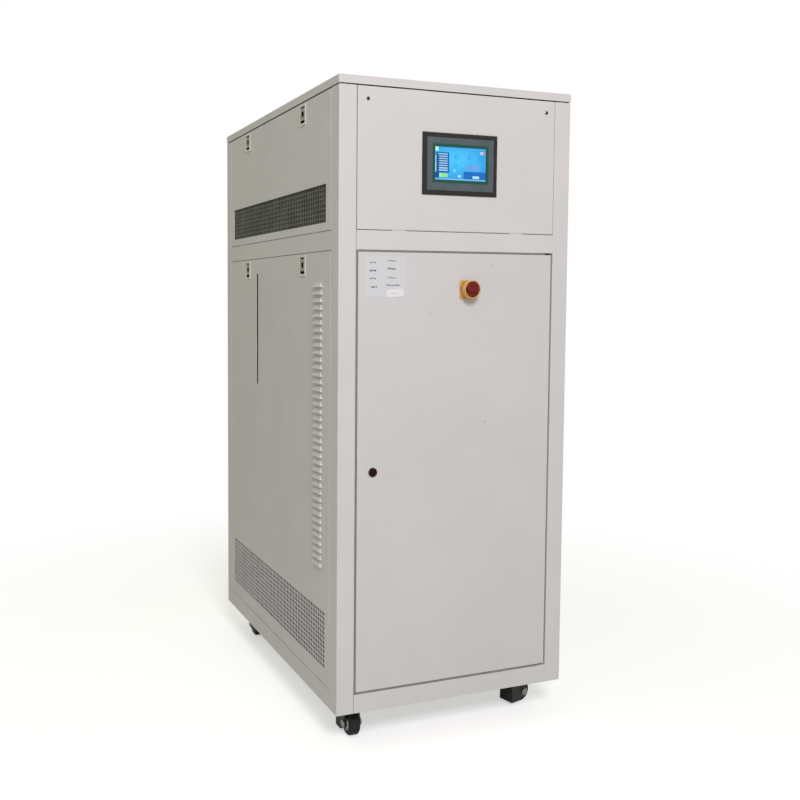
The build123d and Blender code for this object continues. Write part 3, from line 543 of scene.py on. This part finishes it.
# %% Paint cells from rectangles and rings
def cell_colours(columns, rows, ground, rectangles, rings):
    """Colour of each cell of a picture, as (columns, rows, 4), from shapes in shares of its width and height.

    Later shapes lie over earlier ones. A rectangle is (left, right, top, bottom, colour) and a ring is
    (middle across, middle down, radius, width, colour), with radius and width as shares of the height.
    """
    u = ((np.arange(columns) + 0.5) / columns)[:, None] * np.ones(rows)
    v = (1 - (np.arange(rows) + 0.5) / rows)[None, :] * np.ones((columns, 1))
    colours = ground(u, v)
    for left, right, top, bottom, colour in rectangles:
        inside = (u >= left) & (u < right) & (v >= top) & (v < bottom)
        colours[inside] = linear(colour)
    for across, down, radius, width, colour in rings:
        reach = np.hypot((u - across) * columns / rows, v - down)
        colours[np.abs(reach - radius) < width / 2] = linear(colour)
    return colours


GLOW_MIDDLE, GLOW_STRETCH, GLOW_TOP, GLOW_FALL = (0.42, 0.38), (1.1, 1.2), 1.15, 1.1


def screen_ground(u, v):
    """Sky blue that is brightest left of the middle and deepens towards the right and the foot.

    The light blue's share is GLOW_TOP less GLOW_FALL times the stretched distance from GLOW_MIDDLE, from 0 to 1.
    """
    away = np.hypot((u - GLOW_MIDDLE[0]) * GLOW_STRETCH[0], (v - GLOW_MIDDLE[1]) * GLOW_STRETCH[1])
    glow = np.clip(GLOW_TOP - GLOW_FALL * away, 0, 1)[..., None]
    return glow * np.array(linear("#46BEF6")) + (1 - glow) * np.array(linear("#1B7FCC"))


# %% The page of the screen
LIST_ROWS, LIST_STEP = 8, 0.07
SCREEN_SHAPES = [
    (0.0, 1.0, 0.0, 0.05, "#3FA6E6"),
    (0.0, 0.065, 0.0, 0.13, "#BFE6DC"),
    (0.0, 0.07, 0.27, 0.76, "#93D0E6"),
    (0.025, 0.27, 0.165, 0.78, "#12559A"),
    (0.56, 1.0, 0.72, 0.95, "#1668BC"),
    (0.60, 0.88, 0.50, 0.70, "#58A4E0"),
    (0.0, 0.08, 0.78, 0.94, "#10458E"),
    (0.085, 0.25, 0.80, 0.92, "#8FDC84"),
    (0.085, 0.115, 0.80, 0.92, "#A9E6B4"),
    (0.0, 1.0, 0.955, 1.0, "#6FB6E0"),
    (0.445, 0.505, 0.84, 0.91, "#A8DCF4"),
    (0.36, 0.40, 0.68, 0.74, "#78DCE8"),
    (0.74, 0.87, 0.85, 0.93, "#B4DCF4"),
    (0.89, 0.945, 0.09, 0.17, "#B8CCE8"),
    (0.945, 0.995, 0.09, 0.17, "#C07098"),
]
LIST_SHAPES = [
    (0.06 + 0.02 * (n > 0), 0.25, 0.195 + n * LIST_STEP, 0.237 + n * LIST_STEP, "#9CC8E4")
    for n in range(LIST_ROWS)
]
SCREEN_RINGS = [
    (0.42, 0.29, 0.055, 0.022, "#2F8CC4"),
    (0.67, 0.29, 0.055, 0.022, "#2F8CC4"),
    (0.90, 0.31, 0.055, 0.022, "#2F8CC4"),
    (0.40, 0.54, 0.040, 0.022, "#2C93CC"),
    (0.78, 0.58, 0.050, 0.022, "#7F9EEA"),
]
print("shapes on the screen:", len(SCREEN_SHAPES) + len(LIST_SHAPES) + len(SCREEN_RINGS))

# %% A slab with a picture on its front
CELL_MM = 1.0


def picture_slab(name, low, high, page, body, slot, material, tilt=0.0):
    """Closed slab that faces -Y, over a box, whose front cells carry a colour attribute.

    The page is (ground, rectangles, rings) as cell_colours takes them. A tilt in degrees turns every point about
    the box's middle: x cos - z sin, x sin + z cos.
    """
    columns, rows = (round((high[a] - low[a]) / (CELL_MM * MM)) for a in (0, 2))
    points, faces = cell_slab(
        np.linspace(low[0], high[0], columns + 1),
        np.linspace(low[2], high[2], rows + 1),
        np.ones((columns, rows), bool),
        (0, low[1], 0),
        (1, 0, 0),
        (0, 0, 1),
        high[1] - low[1],
    )
    middle = np.array([(low[0] + high[0]) / 2, 0, (low[2] + high[2]) / 2])
    c, s = math.cos(math.radians(tilt)), math.sin(math.radians(tilt))
    points = (points - middle) @ np.array([[c, 0, s], [0, 1, 0], [-s, 0, c]]) + middle
    piece = add_piece(name, points, faces, body, slot, material)
    front = cell_colours(columns, rows, *page).reshape(-1, 4)
    colours = np.tile(front[0], (len(faces), 1))
    colours[: len(front)] = front
    ink = piece.data.attributes.new("ink", "FLOAT_COLOR", "FACE")
    ink.data.foreach_set("color", colours.astype(np.float32).ravel())
    print(name, columns, "by", rows, "cells")
    return piece


# %% [markdown]
# ### A backlit liquid crystal display
#
# The panel gives its own light behind a glossy film. Emission alone would show the picture, but not the film over it.
# So the colour attribute feeds the emission, which keeps the picture readable in shade, and also the base colour,
# where a low roughness gives the film its shine.

# %% Screen material and piece
SCREEN_GLOW = 1.0
FILM_ABSORBS = 0.88
# Lit crystal behind film: saturated blues that shine on their own, with a faint gloss of the room over them.
display, display_tree, display_shader, _, _ = new_finish(
    "backlit_liquid_crystal", "#2089D6", "#2089D6", 0.2, 30, 2.0, 0.005
)
ink_node = add_node(display_tree, "Attribute", {"attribute_name": "ink"}, {})
dim_ink = add_node(
    display_tree, "Mix", COLOUR_MIX, {0: FILM_ABSORBS, MIX_A: ink_node.outputs["Color"], MIX_B: linear("#000000")}
)
display_tree.links.new(dim_ink.outputs[MIX_COLOUR], display_shader.inputs["Base Color"])
display_tree.links.new(ink_node.outputs["Color"], display_shader.inputs["Emission Color"])
display_shader.inputs["Emission Strength"].default_value = SCREEN_GLOW
screen_picture = picture_slab(
    "operator_screen",
    screen_low,
    screen_high,
    (screen_ground, SCREEN_SHAPES + LIST_SHAPES, SCREEN_RINGS),
    "cabinet",
    "screen",
    display,
)
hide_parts("hmi_screen")

# %% [markdown]
# ## The label on the door
#
# A printed film label sits in the door's upper left corner, with four rows in two columns and a small white sticker
# over its foot. Each entry is a row of plain ruled dashes, because from across a room the eye picks up only how long
# and how dark an entry is. The label is a slab like the screen, so one function makes both.

# %% The label's entries
LABEL_ENTRIES = (
    (0.14, 0.31, 0.17, "#6E6D72"),
    (0.14, 0.32, 0.36, "#45434F"),
    (0.14, 0.29, 0.55, "#55545A"),
    (0.17, 0.34, 0.75, "#4B4A50"),
    (0.55, 0.76, 0.12, "#77777A"),
    (0.55, 0.76, 0.31, "#626165"),
    (0.55, 0.76, 0.53, "#828286"),
    (0.54, 0.83, 0.71, "#6A696E"),
)
DASH_STEP, DASH_SHARE, DASH_HEIGHT, DASH_LIFT = 0.052, 0.72, 0.030, 0.006
FADE_SHARE = 0.03


def label_ground(u, v):
    """Pale film that fades to the paint's own grey: its share is the distance to the edge over FADE_SHARE."""
    edge = np.minimum(np.minimum(u, 1 - u), np.minimum(v, 1 - v))
    inner = np.clip(edge / FADE_SHARE, 0, 1)[..., None]
    return inner * np.array(linear("#D3D4DA")) + (1 - inner) * np.array(linear("#CFCCCD"))


def dashes(left, right, middle, colour):
    """Rectangles of one entry: dashes one step apart, of one length, lifted by a sine of where they start."""
    starts = np.arange(left, right - DASH_STEP * 0.5, DASH_STEP)
    middles = middle + DASH_LIFT * np.sin(starts * 90)
    return [
        (start, start + DASH_STEP * DASH_SHARE, at - DASH_HEIGHT / 2, at + DASH_HEIGHT / 2, colour)
        for start, at in zip(starts.tolist(), middles.tolist())
    ]


# %% Printed film
LABEL_MM = {"left": -279, "right": -156, "top": 1310, "bottom": 1202}
STICKER_MM = {"left": -213, "right": -165, "top": 1223, "bottom": 1203}
STICKER_MARKS = [(0.30, 0.38, 0.45, 0.60, "#B9B8BE"), (0.46, 0.54, 0.45, 0.60, "#A9A8AE")]
STICKER_TILT = 4.0
FILM_THICK_MM = 0.3
# Polyester film: a smooth cool white with a softer gloss than the screen, and print that lies flat in it.
printed_film, film_tree, film_shader, _, _ = new_finish(
    "printed_polyester_film", "#DCDDE1", "#DCDDE1", 0.35, 40, 2.0, 0.01
)
film_ink = add_node(film_tree, "Attribute", {"attribute_name": "ink"}, {})
film_tree.links.new(film_ink.outputs["Color"], film_shader.inputs["Base Color"])


def film_box(edges_mm, layers_below):
    """Corners of a film on the door, from its edges and how many films lie under it."""
    back = door_front - layers_below * FILM_THICK_MM * MM
    front = back - FILM_THICK_MM * MM
    return (
        (edges_mm["left"] * MM, front, edges_mm["bottom"] * MM),
        (edges_mm["right"] * MM, back, edges_mm["top"] * MM),
    )


def sticker_ground(u, v):
    """White film, the same all over."""
    return np.tile(np.array(linear("#E6E4E9")), (*u.shape, 1))


# %% Label and sticker
label_dashes = [shape for entry in LABEL_ENTRIES for shape in dashes(*entry)]
label_page, sticker_page = (label_ground, label_dashes, []), (sticker_ground, STICKER_MARKS, [])
on_door = ("front_door", "cabinet_paint", printed_film)
picture_slab("door_label", *film_box(LABEL_MM, 0), label_page, *on_door)
picture_slab("door_label_sticker", *film_box(STICKER_MM, 1), sticker_page, *on_door, tilt=STICKER_TILT)

# %% [markdown]
# ## Screws and caps
#
# Small round parts are profiles turned on a lathe. A pan-head screw is a low dome with a washer under it, and a
# hexagon head is the same lathe with six turns. They could be copied from a library, but a profile of a few points
# makes each of them in the size that it has here.

# %% Profiles of small parts, as (radius, height) in metres
FOOT_SHARE = 0.35


def dome_profile(radius_mm, height_mm, steps=6):
    """Cylinder foot with a quarter ellipse on top: radius r cos(t), height h (f + (1 - f) sin(t)).

    The foot's share of the height is f, and t runs from 0 to just short of a quarter turn.
    """
    t = np.linspace(0, math.pi / 2, steps)[:-1]
    radius = radius_mm * np.cos(t)
    height = height_mm * (FOOT_SHARE + (1 - FOOT_SHARE) * np.sin(t))
    return np.vstack([(radius_mm, 0.0), np.column_stack([radius, height])]) * MM


# %% Two screws of the upper front panel
SCREW_X_MM, SCREW_Z_MM = 270, 1709
SCREW_MM, SCREW_TURNS, SCREW_LIFT_MM = (4.0, 2.6), 24, 0.9
WASHER_PROFILE_MM, WASHER_TURNS = ((5.2, 0.0), (5.2, 0.7), (4.6, 1.0)), 32
FRONT, BACK, DOWN = (0, -1, 0), (0, 1, 0), (0, 0, -1)
panel_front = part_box("upper_front_panel")[0].y
screw_places = [(x * MM, panel_front, SCREW_Z_MM * MM) for x in (-SCREW_X_MM, SCREW_X_MM)]
washer_profile = np.array(WASHER_PROFILE_MM) * MM
washers = merge([lathe(washer_profile, place, FRONT, WASHER_TURNS) for place in screw_places])
add_piece("front_panel_washers", *washers, "cabinet", "galvanised_steel", galvanised)
screws = merge([
    lathe(dome_profile(*SCREW_MM), (x, y - SCREW_LIFT_MM * MM, z), FRONT, SCREW_TURNS) for x, y, z in screw_places
])
add_piece("front_panel_screws", *screws, "cabinet", "dark_steel", black_plastic, smooth=True)
print("front panel screws:", len(screw_places))

# %% [markdown]
# ### Screws at the rear
#
# The two rear panels come off for service, so they are held by screws along their upright edges: two pairs on the
# upper one and three on the lower one. They could be dots of another material, but a dome catches the light as a
# real head does.

# %% Screws of the two rear panels
REAR_SCREW_INSET_MM = 12.0
REAR_SCREW_MM = (4.0, 2.4)
rear_places = []
for panel, rows in (("rear_upper_panel", 2), ("rear_lower_panel", 3)):
    low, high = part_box(panel)
    inset = REAR_SCREW_INSET_MM * MM
    rear_places += [
        (x, high.y, z)
        for x in (low.x + inset, high.x - inset)
        for z in np.linspace(low.z + inset, high.z - inset, rows).tolist()
    ]
rear_profile = dome_profile(*REAR_SCREW_MM)
rear_screws = merge([lathe(rear_profile, place, BACK, SCREW_TURNS) for place in rear_places])
add_piece("rear_panel_screws", *rear_screws, "cabinet", "galvanised_steel", zinc_plate, smooth=True)
print("rear panel screws:", len(rear_places))

# %% [markdown]
# ## The main switch
#
# The red knob of a main isolator sits inside a deep yellow collar, which keeps a sleeve from turning it. The frame
# holds the plate and the turning knob in plain form. Here the knob becomes a disc with a rolled edge and a low grip
# across it, and the collar is a turned ring around it. Both are polyamide mouldings with a satin face. The frame
# could hold their fine rims too, but it has to stay light, and a lathe makes them from a short profile.

# %% A bar with rounded ends and rolled edges
def bar(centre, half_length, half_width, height, roll, out, turns=40):
    """Stadium-shaped bar along x that stands up along the direction out, with its upper edge rolled.

    Each level is the stadium of half_length and half_width shrunk by roll * (1 - cos(t)), at height
    h - roll + roll * sin(t), with t from 0 to a quarter turn.
    """
    angle = np.arange(turns) * 2 * math.pi / turns
    t = np.linspace(0, math.pi / 2, 5)
    shrink = np.concatenate([[0.0], roll * (1 - np.cos(t))])
    level = np.concatenate([[0.0], height - roll + roll * np.sin(t)])
    radius = half_width - shrink[:, None]
    straight = half_length - half_width
    x = radius * np.cos(angle) + np.where(np.cos(angle) > 0, 1, -1) * straight
    z = radius * np.sin(angle)
    rings = np.stack([x, np.broadcast_to(level[:, None], x.shape) * out, z], -1)
    points = np.concatenate([rings.reshape(-1, 3), [[0, 0, 0], [0, height * out, 0]]]) + np.asarray(centre)
    return points, ring_faces(len(level), turns)


# %% Collar
plate_low, plate_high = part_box("isolator_plate")
switch_x, switch_z = (plate_low.x + plate_high.x) / 2, (plate_low.z + plate_high.z) / 2
SWITCH_TURNS = 64
# The profile runs up the outside with a slight draft, over a rounded rim and down the inside.
COLLAR_MM = {"inner": 21.6, "outer": 25.0, "depth": 23.0, "foot": 4.0}
collar_profile = [
    (COLLAR_MM["inner"], 0.0),
    (COLLAR_MM["outer"], 0.0),
    (COLLAR_MM["outer"] - 0.4, COLLAR_MM["depth"] - 1.0),
    (COLLAR_MM["outer"] - 1.2, COLLAR_MM["depth"]),
    (COLLAR_MM["inner"] + 0.6, COLLAR_MM["depth"]),
    (COLLAR_MM["inner"], COLLAR_MM["depth"] - 0.6),
]


def ring(profile, centre, axis, turns):
    """Closed ring: the profile's own end joins its start, so the lathe's two fans are left off."""
    points, faces = lathe(profile, centre, axis, turns)
    step, last = np.arange(turns), (len(profile) - 1) * turns
    closing = np.stack([last + step, last + (step + 1) % turns, (step + 1) % turns, step], -1).tolist()
    return points[: len(profile) * turns], faces[:last] + closing


collar_place = (switch_x, door_front - COLLAR_MM["foot"] * MM, switch_z)
collar = ring(np.array(collar_profile) * MM, collar_place, FRONT, SWITCH_TURNS)
add_piece("isolator_collar", *collar, "front_door", "yellow_plastic", isolator_yellow, smooth=True)
print("collar is", 2 * COLLAR_MM["outer"], "mm across")

# %% Knob
KNOB_MM = {"radius": 20.5, "depth": 13.5, "roll": 2.0, "gap": 0.3}
GRIP_MM = {"half_length": 18.0, "half_width": 6.5, "height": 7.0, "roll": 2.0, "sunk": 1.0}
STEM_MM, STEM_TURNS = {"radius": 5.0, "length": 30.0}, 32
knob_profile = [(KNOB_MM["radius"] - 0.4, 0.0)] + [
    (
        KNOB_MM["radius"] - KNOB_MM["roll"] * (1 - math.cos(a)),
        KNOB_MM["depth"] - KNOB_MM["roll"] * (1 - math.sin(a)),
    )
    for a in np.linspace(0, math.pi / 2, 6)
]
stem_profile = [(STEM_MM["radius"], 0.0), (STEM_MM["radius"], STEM_MM["length"])]
foot_y = plate_low.y - KNOB_MM["gap"] * MM
stem_y = foot_y + STEM_MM["length"] * MM
grip_y = foot_y - (KNOB_MM["depth"] - GRIP_MM["sunk"]) * MM
knob = merge([
    lathe(np.array(knob_profile) * MM, (switch_x, foot_y, switch_z), FRONT, SWITCH_TURNS),
    lathe(np.array(stem_profile) * MM, (switch_x, stem_y, switch_z), FRONT, STEM_TURNS),
    bar(
        (switch_x, grip_y, switch_z),
        GRIP_MM["half_length"] * MM,
        GRIP_MM["half_width"] * MM,
        GRIP_MM["height"] * MM,
        GRIP_MM["roll"] * MM,
        FRONT[1],
    ),
])
knob_piece = add_piece("isolator_knob", *knob, "isolator_knob", "red_plastic", isolator_red, smooth=True)
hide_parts("isolator_handle")
print("knob reaches y =", round(float(np.min(knob[0][:, 1])) / MM, 1), "mm")

# %% [markdown]
# ## Seal in the door's gap
#
# A strip of grey foam closes the gap around the door. It sits a little behind the door's face, and it is what makes
# the real seam look grey and not black. It could be one bent tube, but three plain strips in the gap are what is
# glued there, and the hinge side stays free so that the door can swing.

# %% Foam strips
SEAL_BEHIND_MM, SEAL_DEPTH_MM, SEAL_SLACK_MM, PIVOT_ROOM_MM = 1.2, 6.0, 0.35, 20.0
# Closed-cell foam: a warm matt grey that makes the gap read as a soft line.
foam = new_finish("closed_cell_foam", "#8C8583", "#7F7977", 0.85, 20, 2.0, 0.15)[0]


def strip(low, high):
    """Box between two corners, with its long edges left square as cut foam has them."""
    u, v = np.array([low[0], high[0]]), np.array([low[2], high[2]])
    return cell_slab(u, v, np.ones((1, 1), bool), (0, low[1], 0), (1, 0, 0), (0, 0, 1), high[1] - low[1])


door_low, door_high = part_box("door")
near_y = door_front + SEAL_BEHIND_MM * MM
far_y = near_y + SEAL_DEPTH_MM * MM
gap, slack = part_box("mid_frame")[0].z - door_high.z, SEAL_SLACK_MM * MM
left_x, right_x = door_low.x - gap, door_high.x - PIVOT_ROOM_MM * MM
seals = merge([
    strip((left_x, near_y, door_high.z + slack), (right_x, far_y, door_high.z + gap)),
    strip((left_x, near_y, door_low.z - gap), (right_x, far_y, door_low.z - slack)),
    strip((left_x, near_y, door_low.z), (door_low.x - slack, far_y, door_high.z)),
])
add_piece("door_seal", *seals, "cabinet", "black_plastic", foam)
print("door gap in mm:", round(gap / MM, 2))

# %% [markdown]
# ## Gaskets under the upper panels
#
# The four upper panels stand on the mid rails, and a thin gasket lies pressed between them, just behind the seam. It
# keeps the seam dark, where bare sheet on sheet would let light through in places. A groove in the rail would do as
# well, but a foam gasket is what such a cabinet has there.

# %% Gaskets
GASKET_BEHIND_MM, GASKET_WIDE_MM, GASKET_HALF_MM = 1.6, 8.0, 0.9
# Pressed foam: a grey dark enough to leave a crisp line between two sheets.
gasket_foam = new_finish("gasket_foam", "#5C5955", "#514E4B", 0.9, 20, 2.0, 0.1)[0]
UPPER_PANELS = (
    ("upper_front_panel", 1, -1),
    ("rear_upper_panel", 1, 1),
    ("left_upper_panel", 0, -1),
    ("right_upper_panel", 0, 1),
)
near, far = GASKET_BEHIND_MM * MM, (GASKET_BEHIND_MM + GASKET_WIDE_MM) * MM
rail_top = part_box("mid_frame")[1].z
gaskets = []
for panel, axis, outward in UPPER_PANELS:
    low, high = (list(corner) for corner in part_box(panel))
    face = high[axis] if outward > 0 else low[axis]
    low[axis], high[axis] = sorted((face - outward * near, face - outward * far))
    low[2], high[2] = rail_top - GASKET_HALF_MM * MM, rail_top + GASKET_HALF_MM * MM
    gaskets.append(strip(low, high))
add_piece("upper_panel_gaskets", *merge(gaskets), "cabinet", "black_plastic", gasket_foam)
print("gaskets:", len(gaskets), "at height", round(rail_top / MM, 1), "mm")

# %% [markdown]
# ## Castors
#
# Each castor is a pressed yoke under a ball race, with a nylon wheel. Seen close, it also has a domed cap over each
# end of the axle, and a plated cap over each side of the wheel. They could be part of the yoke and the wheel, but as
# pieces of their own they ride on the body that carries them, so they swivel and roll with it.

# %% Caps of axles and wheels
AXLE_CAP_MM, WHEEL_CAP_MM = (11.0, 6.5), (19.0, 4.6)
CHEEK_MM, WHEEL_FACE_MM, CAP_TURNS = 23.3, 15.0, 40
CORNERS = ("front_left", "front_right", "rear_left", "rear_right")
joints = {joint["name"]: joint for joint in frame["joints"]}


def cap_pair(corner, cap_mm, away_mm):
    """Two domes on a castor's axle that face away from each other, each away_mm from its middle."""
    roll = joints[corner + "_roll"]
    middle, axle = Vector(roll["pos_m"]), Vector(roll["axis"])
    profile = dome_profile(*cap_mm)
    return merge([lathe(profile, middle + axle * (away_mm * MM) * s, axle * s, CAP_TURNS) for s in (-1, 1)])


plated = ("galvanised_steel", zinc_plate)
for corner in CORNERS:
    axle_caps, wheel_caps = cap_pair(corner, AXLE_CAP_MM, CHEEK_MM), cap_pair(corner, WHEEL_CAP_MM, WHEEL_FACE_MM)
    add_piece(corner + "_axle_caps", *axle_caps, corner + "_castor", *plated, smooth=True)
    add_piece(corner + "_wheel_caps", *wheel_caps, corner + "_roller", *plated, smooth=True)
print("castors with caps:", len(CORNERS))

# %% [markdown]
# ### Bolts of the castor plates
#
# Four hexagon bolts hold each castor's plate under the base rails. They hardly show, but a plate without them would
# look glued on, and six turns of the lathe make each head.

# %% Bolts of the castor plates
BOLT_MM, HEXAGON = (4.5, 3.0), 6
BOLT_ACROSS_MM, BOLT_ALONG_MM, PLATE_SHEET_MM = 28.0, 38.0, 4.0
bolt_profile = np.array([(BOLT_MM[0], 0.0), BOLT_MM]) * MM
castor_xy = [joints[corner + "_swivel"]["pos_m"][:2] for corner in CORNERS]
plate_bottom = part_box("castor_plates")[1].z - PLATE_SHEET_MM * MM
bolts = [
    lathe(bolt_profile, (x + across * MM, y + along * MM, plate_bottom), DOWN, HEXAGON)
    for x, y in castor_xy
    for across in (-BOLT_ACROSS_MM, BOLT_ACROSS_MM)
    for along in (-BOLT_ALONG_MM, BOLT_ALONG_MM)
]
add_piece("castor_plate_bolts", *merge(bolts), "cabinet", *plated)
print("castor plate bolts:", len(bolts))

# %% [markdown]
# ## Floor, light and camera
#
# The chiller stands in front of nothing but white. The floor is a large square whose grey the lamps light, so that it
# keeps the cabinet's shadow, and what the camera sees of it is lifted towards white. Further out it fades into plain
# white, so that no edge shows. A bent backdrop would do the same in a studio, but it would cast light on the side.

# %% White floor
FLOOR_HALF = 9.0
FADE_START, FADE_END = 0.75, 2.4
FLOOR_GREY, FLOOR_LIFT = 0.72, 0.52
floor_material = bpy.data.materials.new("white_studio_floor")
floor_material.use_nodes = True
floor_tree = floor_material.node_tree
floor_tree.nodes.clear()
seen = add_node(floor_tree, "LightPath", {}, {})
lift = add_node(floor_tree, "Math", {"operation": "MULTIPLY"}, {0: seen.outputs["Is Camera Ray"], 1: FLOOR_LIFT})
floor_diffuse = add_node(floor_tree, "BsdfDiffuse", {}, {"Color": (FLOOR_GREY, FLOOR_GREY, FLOOR_GREY, 1)})
floor_glow = add_node(floor_tree, "Emission", {}, {"Color": (1, 1, 1, 1), "Strength": lift.outputs[0]})
floor_sum = add_node(floor_tree, "AddShader", {}, {0: floor_diffuse.outputs[0], 1: floor_glow.outputs[0]})
floor_place = add_node(floor_tree, "TexCoord", {}, {}).outputs["Object"]
floor_reach = add_node(floor_tree, "VectorMath", {"operation": "LENGTH"}, {0: floor_place})
fade = add_node(
    floor_tree,
    "MapRange",
    {"interpolation_type": "SMOOTHSTEP"},
    {"Value": floor_reach.outputs["Value"], "From Min": FADE_START, "From Max": FADE_END},
)
seen_fade = add_node(
    floor_tree, "Math", {"operation": "MULTIPLY"}, {0: fade.outputs[0], 1: seen.outputs["Is Camera Ray"]}
)
floor_white = add_node(floor_tree, "Emission", {}, {"Color": (1, 1, 1, 1), "Strength": 1.0})
floor_mix = add_node(
    floor_tree, "MixShader", {}, {0: seen_fade.outputs[0], 1: floor_sum.outputs[0], 2: floor_white.outputs[0]}
)
add_node(floor_tree, "OutputMaterial", {}, {"Surface": floor_mix.outputs[0]})
floor_mesh = bpy.data.meshes.new("studio_floor")
corner_signs = np.array([(-1, -1), (1, -1), (1, 1), (-1, 1)])
floor_points = np.column_stack([corner_signs * FLOOR_HALF, np.zeros(4)])
floor_mesh.from_pydata(floor_points.tolist(), [], [[0, 1, 2, 3]])
floor_mesh.materials.append(floor_material)
floor = bpy.data.objects.new("studio_floor", floor_mesh)
bpy.context.scene.collection.objects.link(floor)
print("floor reaches", FLOOR_HALF, "m from the middle")

# %% [markdown]
# ### The light of the room
#
# The world is plain white where the camera looks past the chiller. What lands on the chiller itself is much weaker
# and faintly warm, so that the sides which the lamps miss stay in shade. One strength for both would flatten them.

# %% World light
FILL_STRENGTH = 0.38
world = bpy.data.worlds.new("white_studio")
bpy.context.scene.world = world
world.use_nodes = True
world_tree = world.node_tree
world_tree.nodes.clear()
path = add_node(world_tree, "LightPath", {}, {})
shown = add_node(
    world_tree,
    "Math",
    {"operation": "MAXIMUM"},
    {0: path.outputs["Is Camera Ray"], 1: path.outputs["Is Transmission Ray"]},
)
fill = add_node(world_tree, "Background", {}, {"Color": linear("#FEFFE6"), "Strength": FILL_STRENGTH})
white = add_node(world_tree, "Background", {}, {"Color": (1, 1, 1, 1), "Strength": 1.0})
world_mix = add_node(world_tree, "MixShader", {}, {0: shown.outputs[0], 1: fill.outputs[0], 2: white.outputs[0]})
add_node(world_tree, "OutputWorld", {}, {"Surface": world_mix.outputs[0]})
print("fill light has strength", FILL_STRENGTH)

# %% [markdown]
# ### Two lamps
#
# A large soft lamp stands in front of the door, to the left and well above it. It lights the door evenly and only
# grazes the left side, which lets the louvres stand out. A weak one above that side lifts its shade a little. One
# lamp at the camera would be simpler, but it would flatten the hoods.

# %% Key lamp and side lamp
LAMPS = {
    "key_softbox": {
        "place": (-1.3, -4.9, 4.2), "aim": (0.0, -0.2, 1.15), "size": 1.6, "power": 202.0, "colour": "#FCF8FF"
    },
    "side_softbox": {
        "place": (-3.0, 0.3, 4.6), "aim": (-0.35, 0.0, 1.4), "size": 1.5, "power": 12.0, "colour": "#FFFFF4"
    },
}
for lamp_name, lamp in LAMPS.items():
    light = bpy.data.lights.new(lamp_name, "AREA")
    light.size = lamp["size"]
    light.energy = lamp["power"]
    light.color = linear(lamp["colour"])[:3]
    lamp_object = bpy.data.objects.new(lamp_name, light)
    lamp_object.location = lamp["place"]
    towards = Vector(lamp["aim"]) - Vector(lamp["place"])
    lamp_object.rotation_euler = towards.to_track_quat("-Z", "Y").to_euler()
    bpy.context.scene.collection.objects.link(lamp_object)
    print(lamp_name, "has", lamp["power"], "watts")

# %% [markdown]
# ### The camera
#
# The picture is a crop, so the point that the lens looks at is left of its middle and above it. A shift of the
# sensor says the same thing in Blender, while turning the camera would bend the upright edges. The place and the
# angles come from fitting nine corners of the cabinet.

# %% Camera
IMAGE_PIXELS = 800
FOCAL_PIXELS = 922.6
AIM_PIXEL = (286.2, 354.2)
SENSOR_MM = 36.0
CAMERA_PLACE = (-1.2873, -2.6751, 1.2047)
CAMERA_ANGLES = (90 - 3.600, -0.071, -20.082)
camera_data = bpy.data.cameras.new("photo_camera")
camera_data.sensor_width = SENSOR_MM
camera_data.lens = SENSOR_MM * FOCAL_PIXELS / IMAGE_PIXELS
camera_data.shift_x = 0.5 - AIM_PIXEL[0] / IMAGE_PIXELS
camera_data.shift_y = AIM_PIXEL[1] / IMAGE_PIXELS - 0.5
camera_data.clip_end = 60
camera = bpy.data.objects.new("photo_camera", camera_data)
camera.location = CAMERA_PLACE
camera.rotation_euler = [math.radians(angle) for angle in CAMERA_ANGLES]
bpy.context.scene.collection.objects.link(camera)
bpy.context.scene.camera = camera
bpy.context.scene.view_settings.view_transform = "Standard"
print("lens in mm:", round(camera_data.lens, 2))
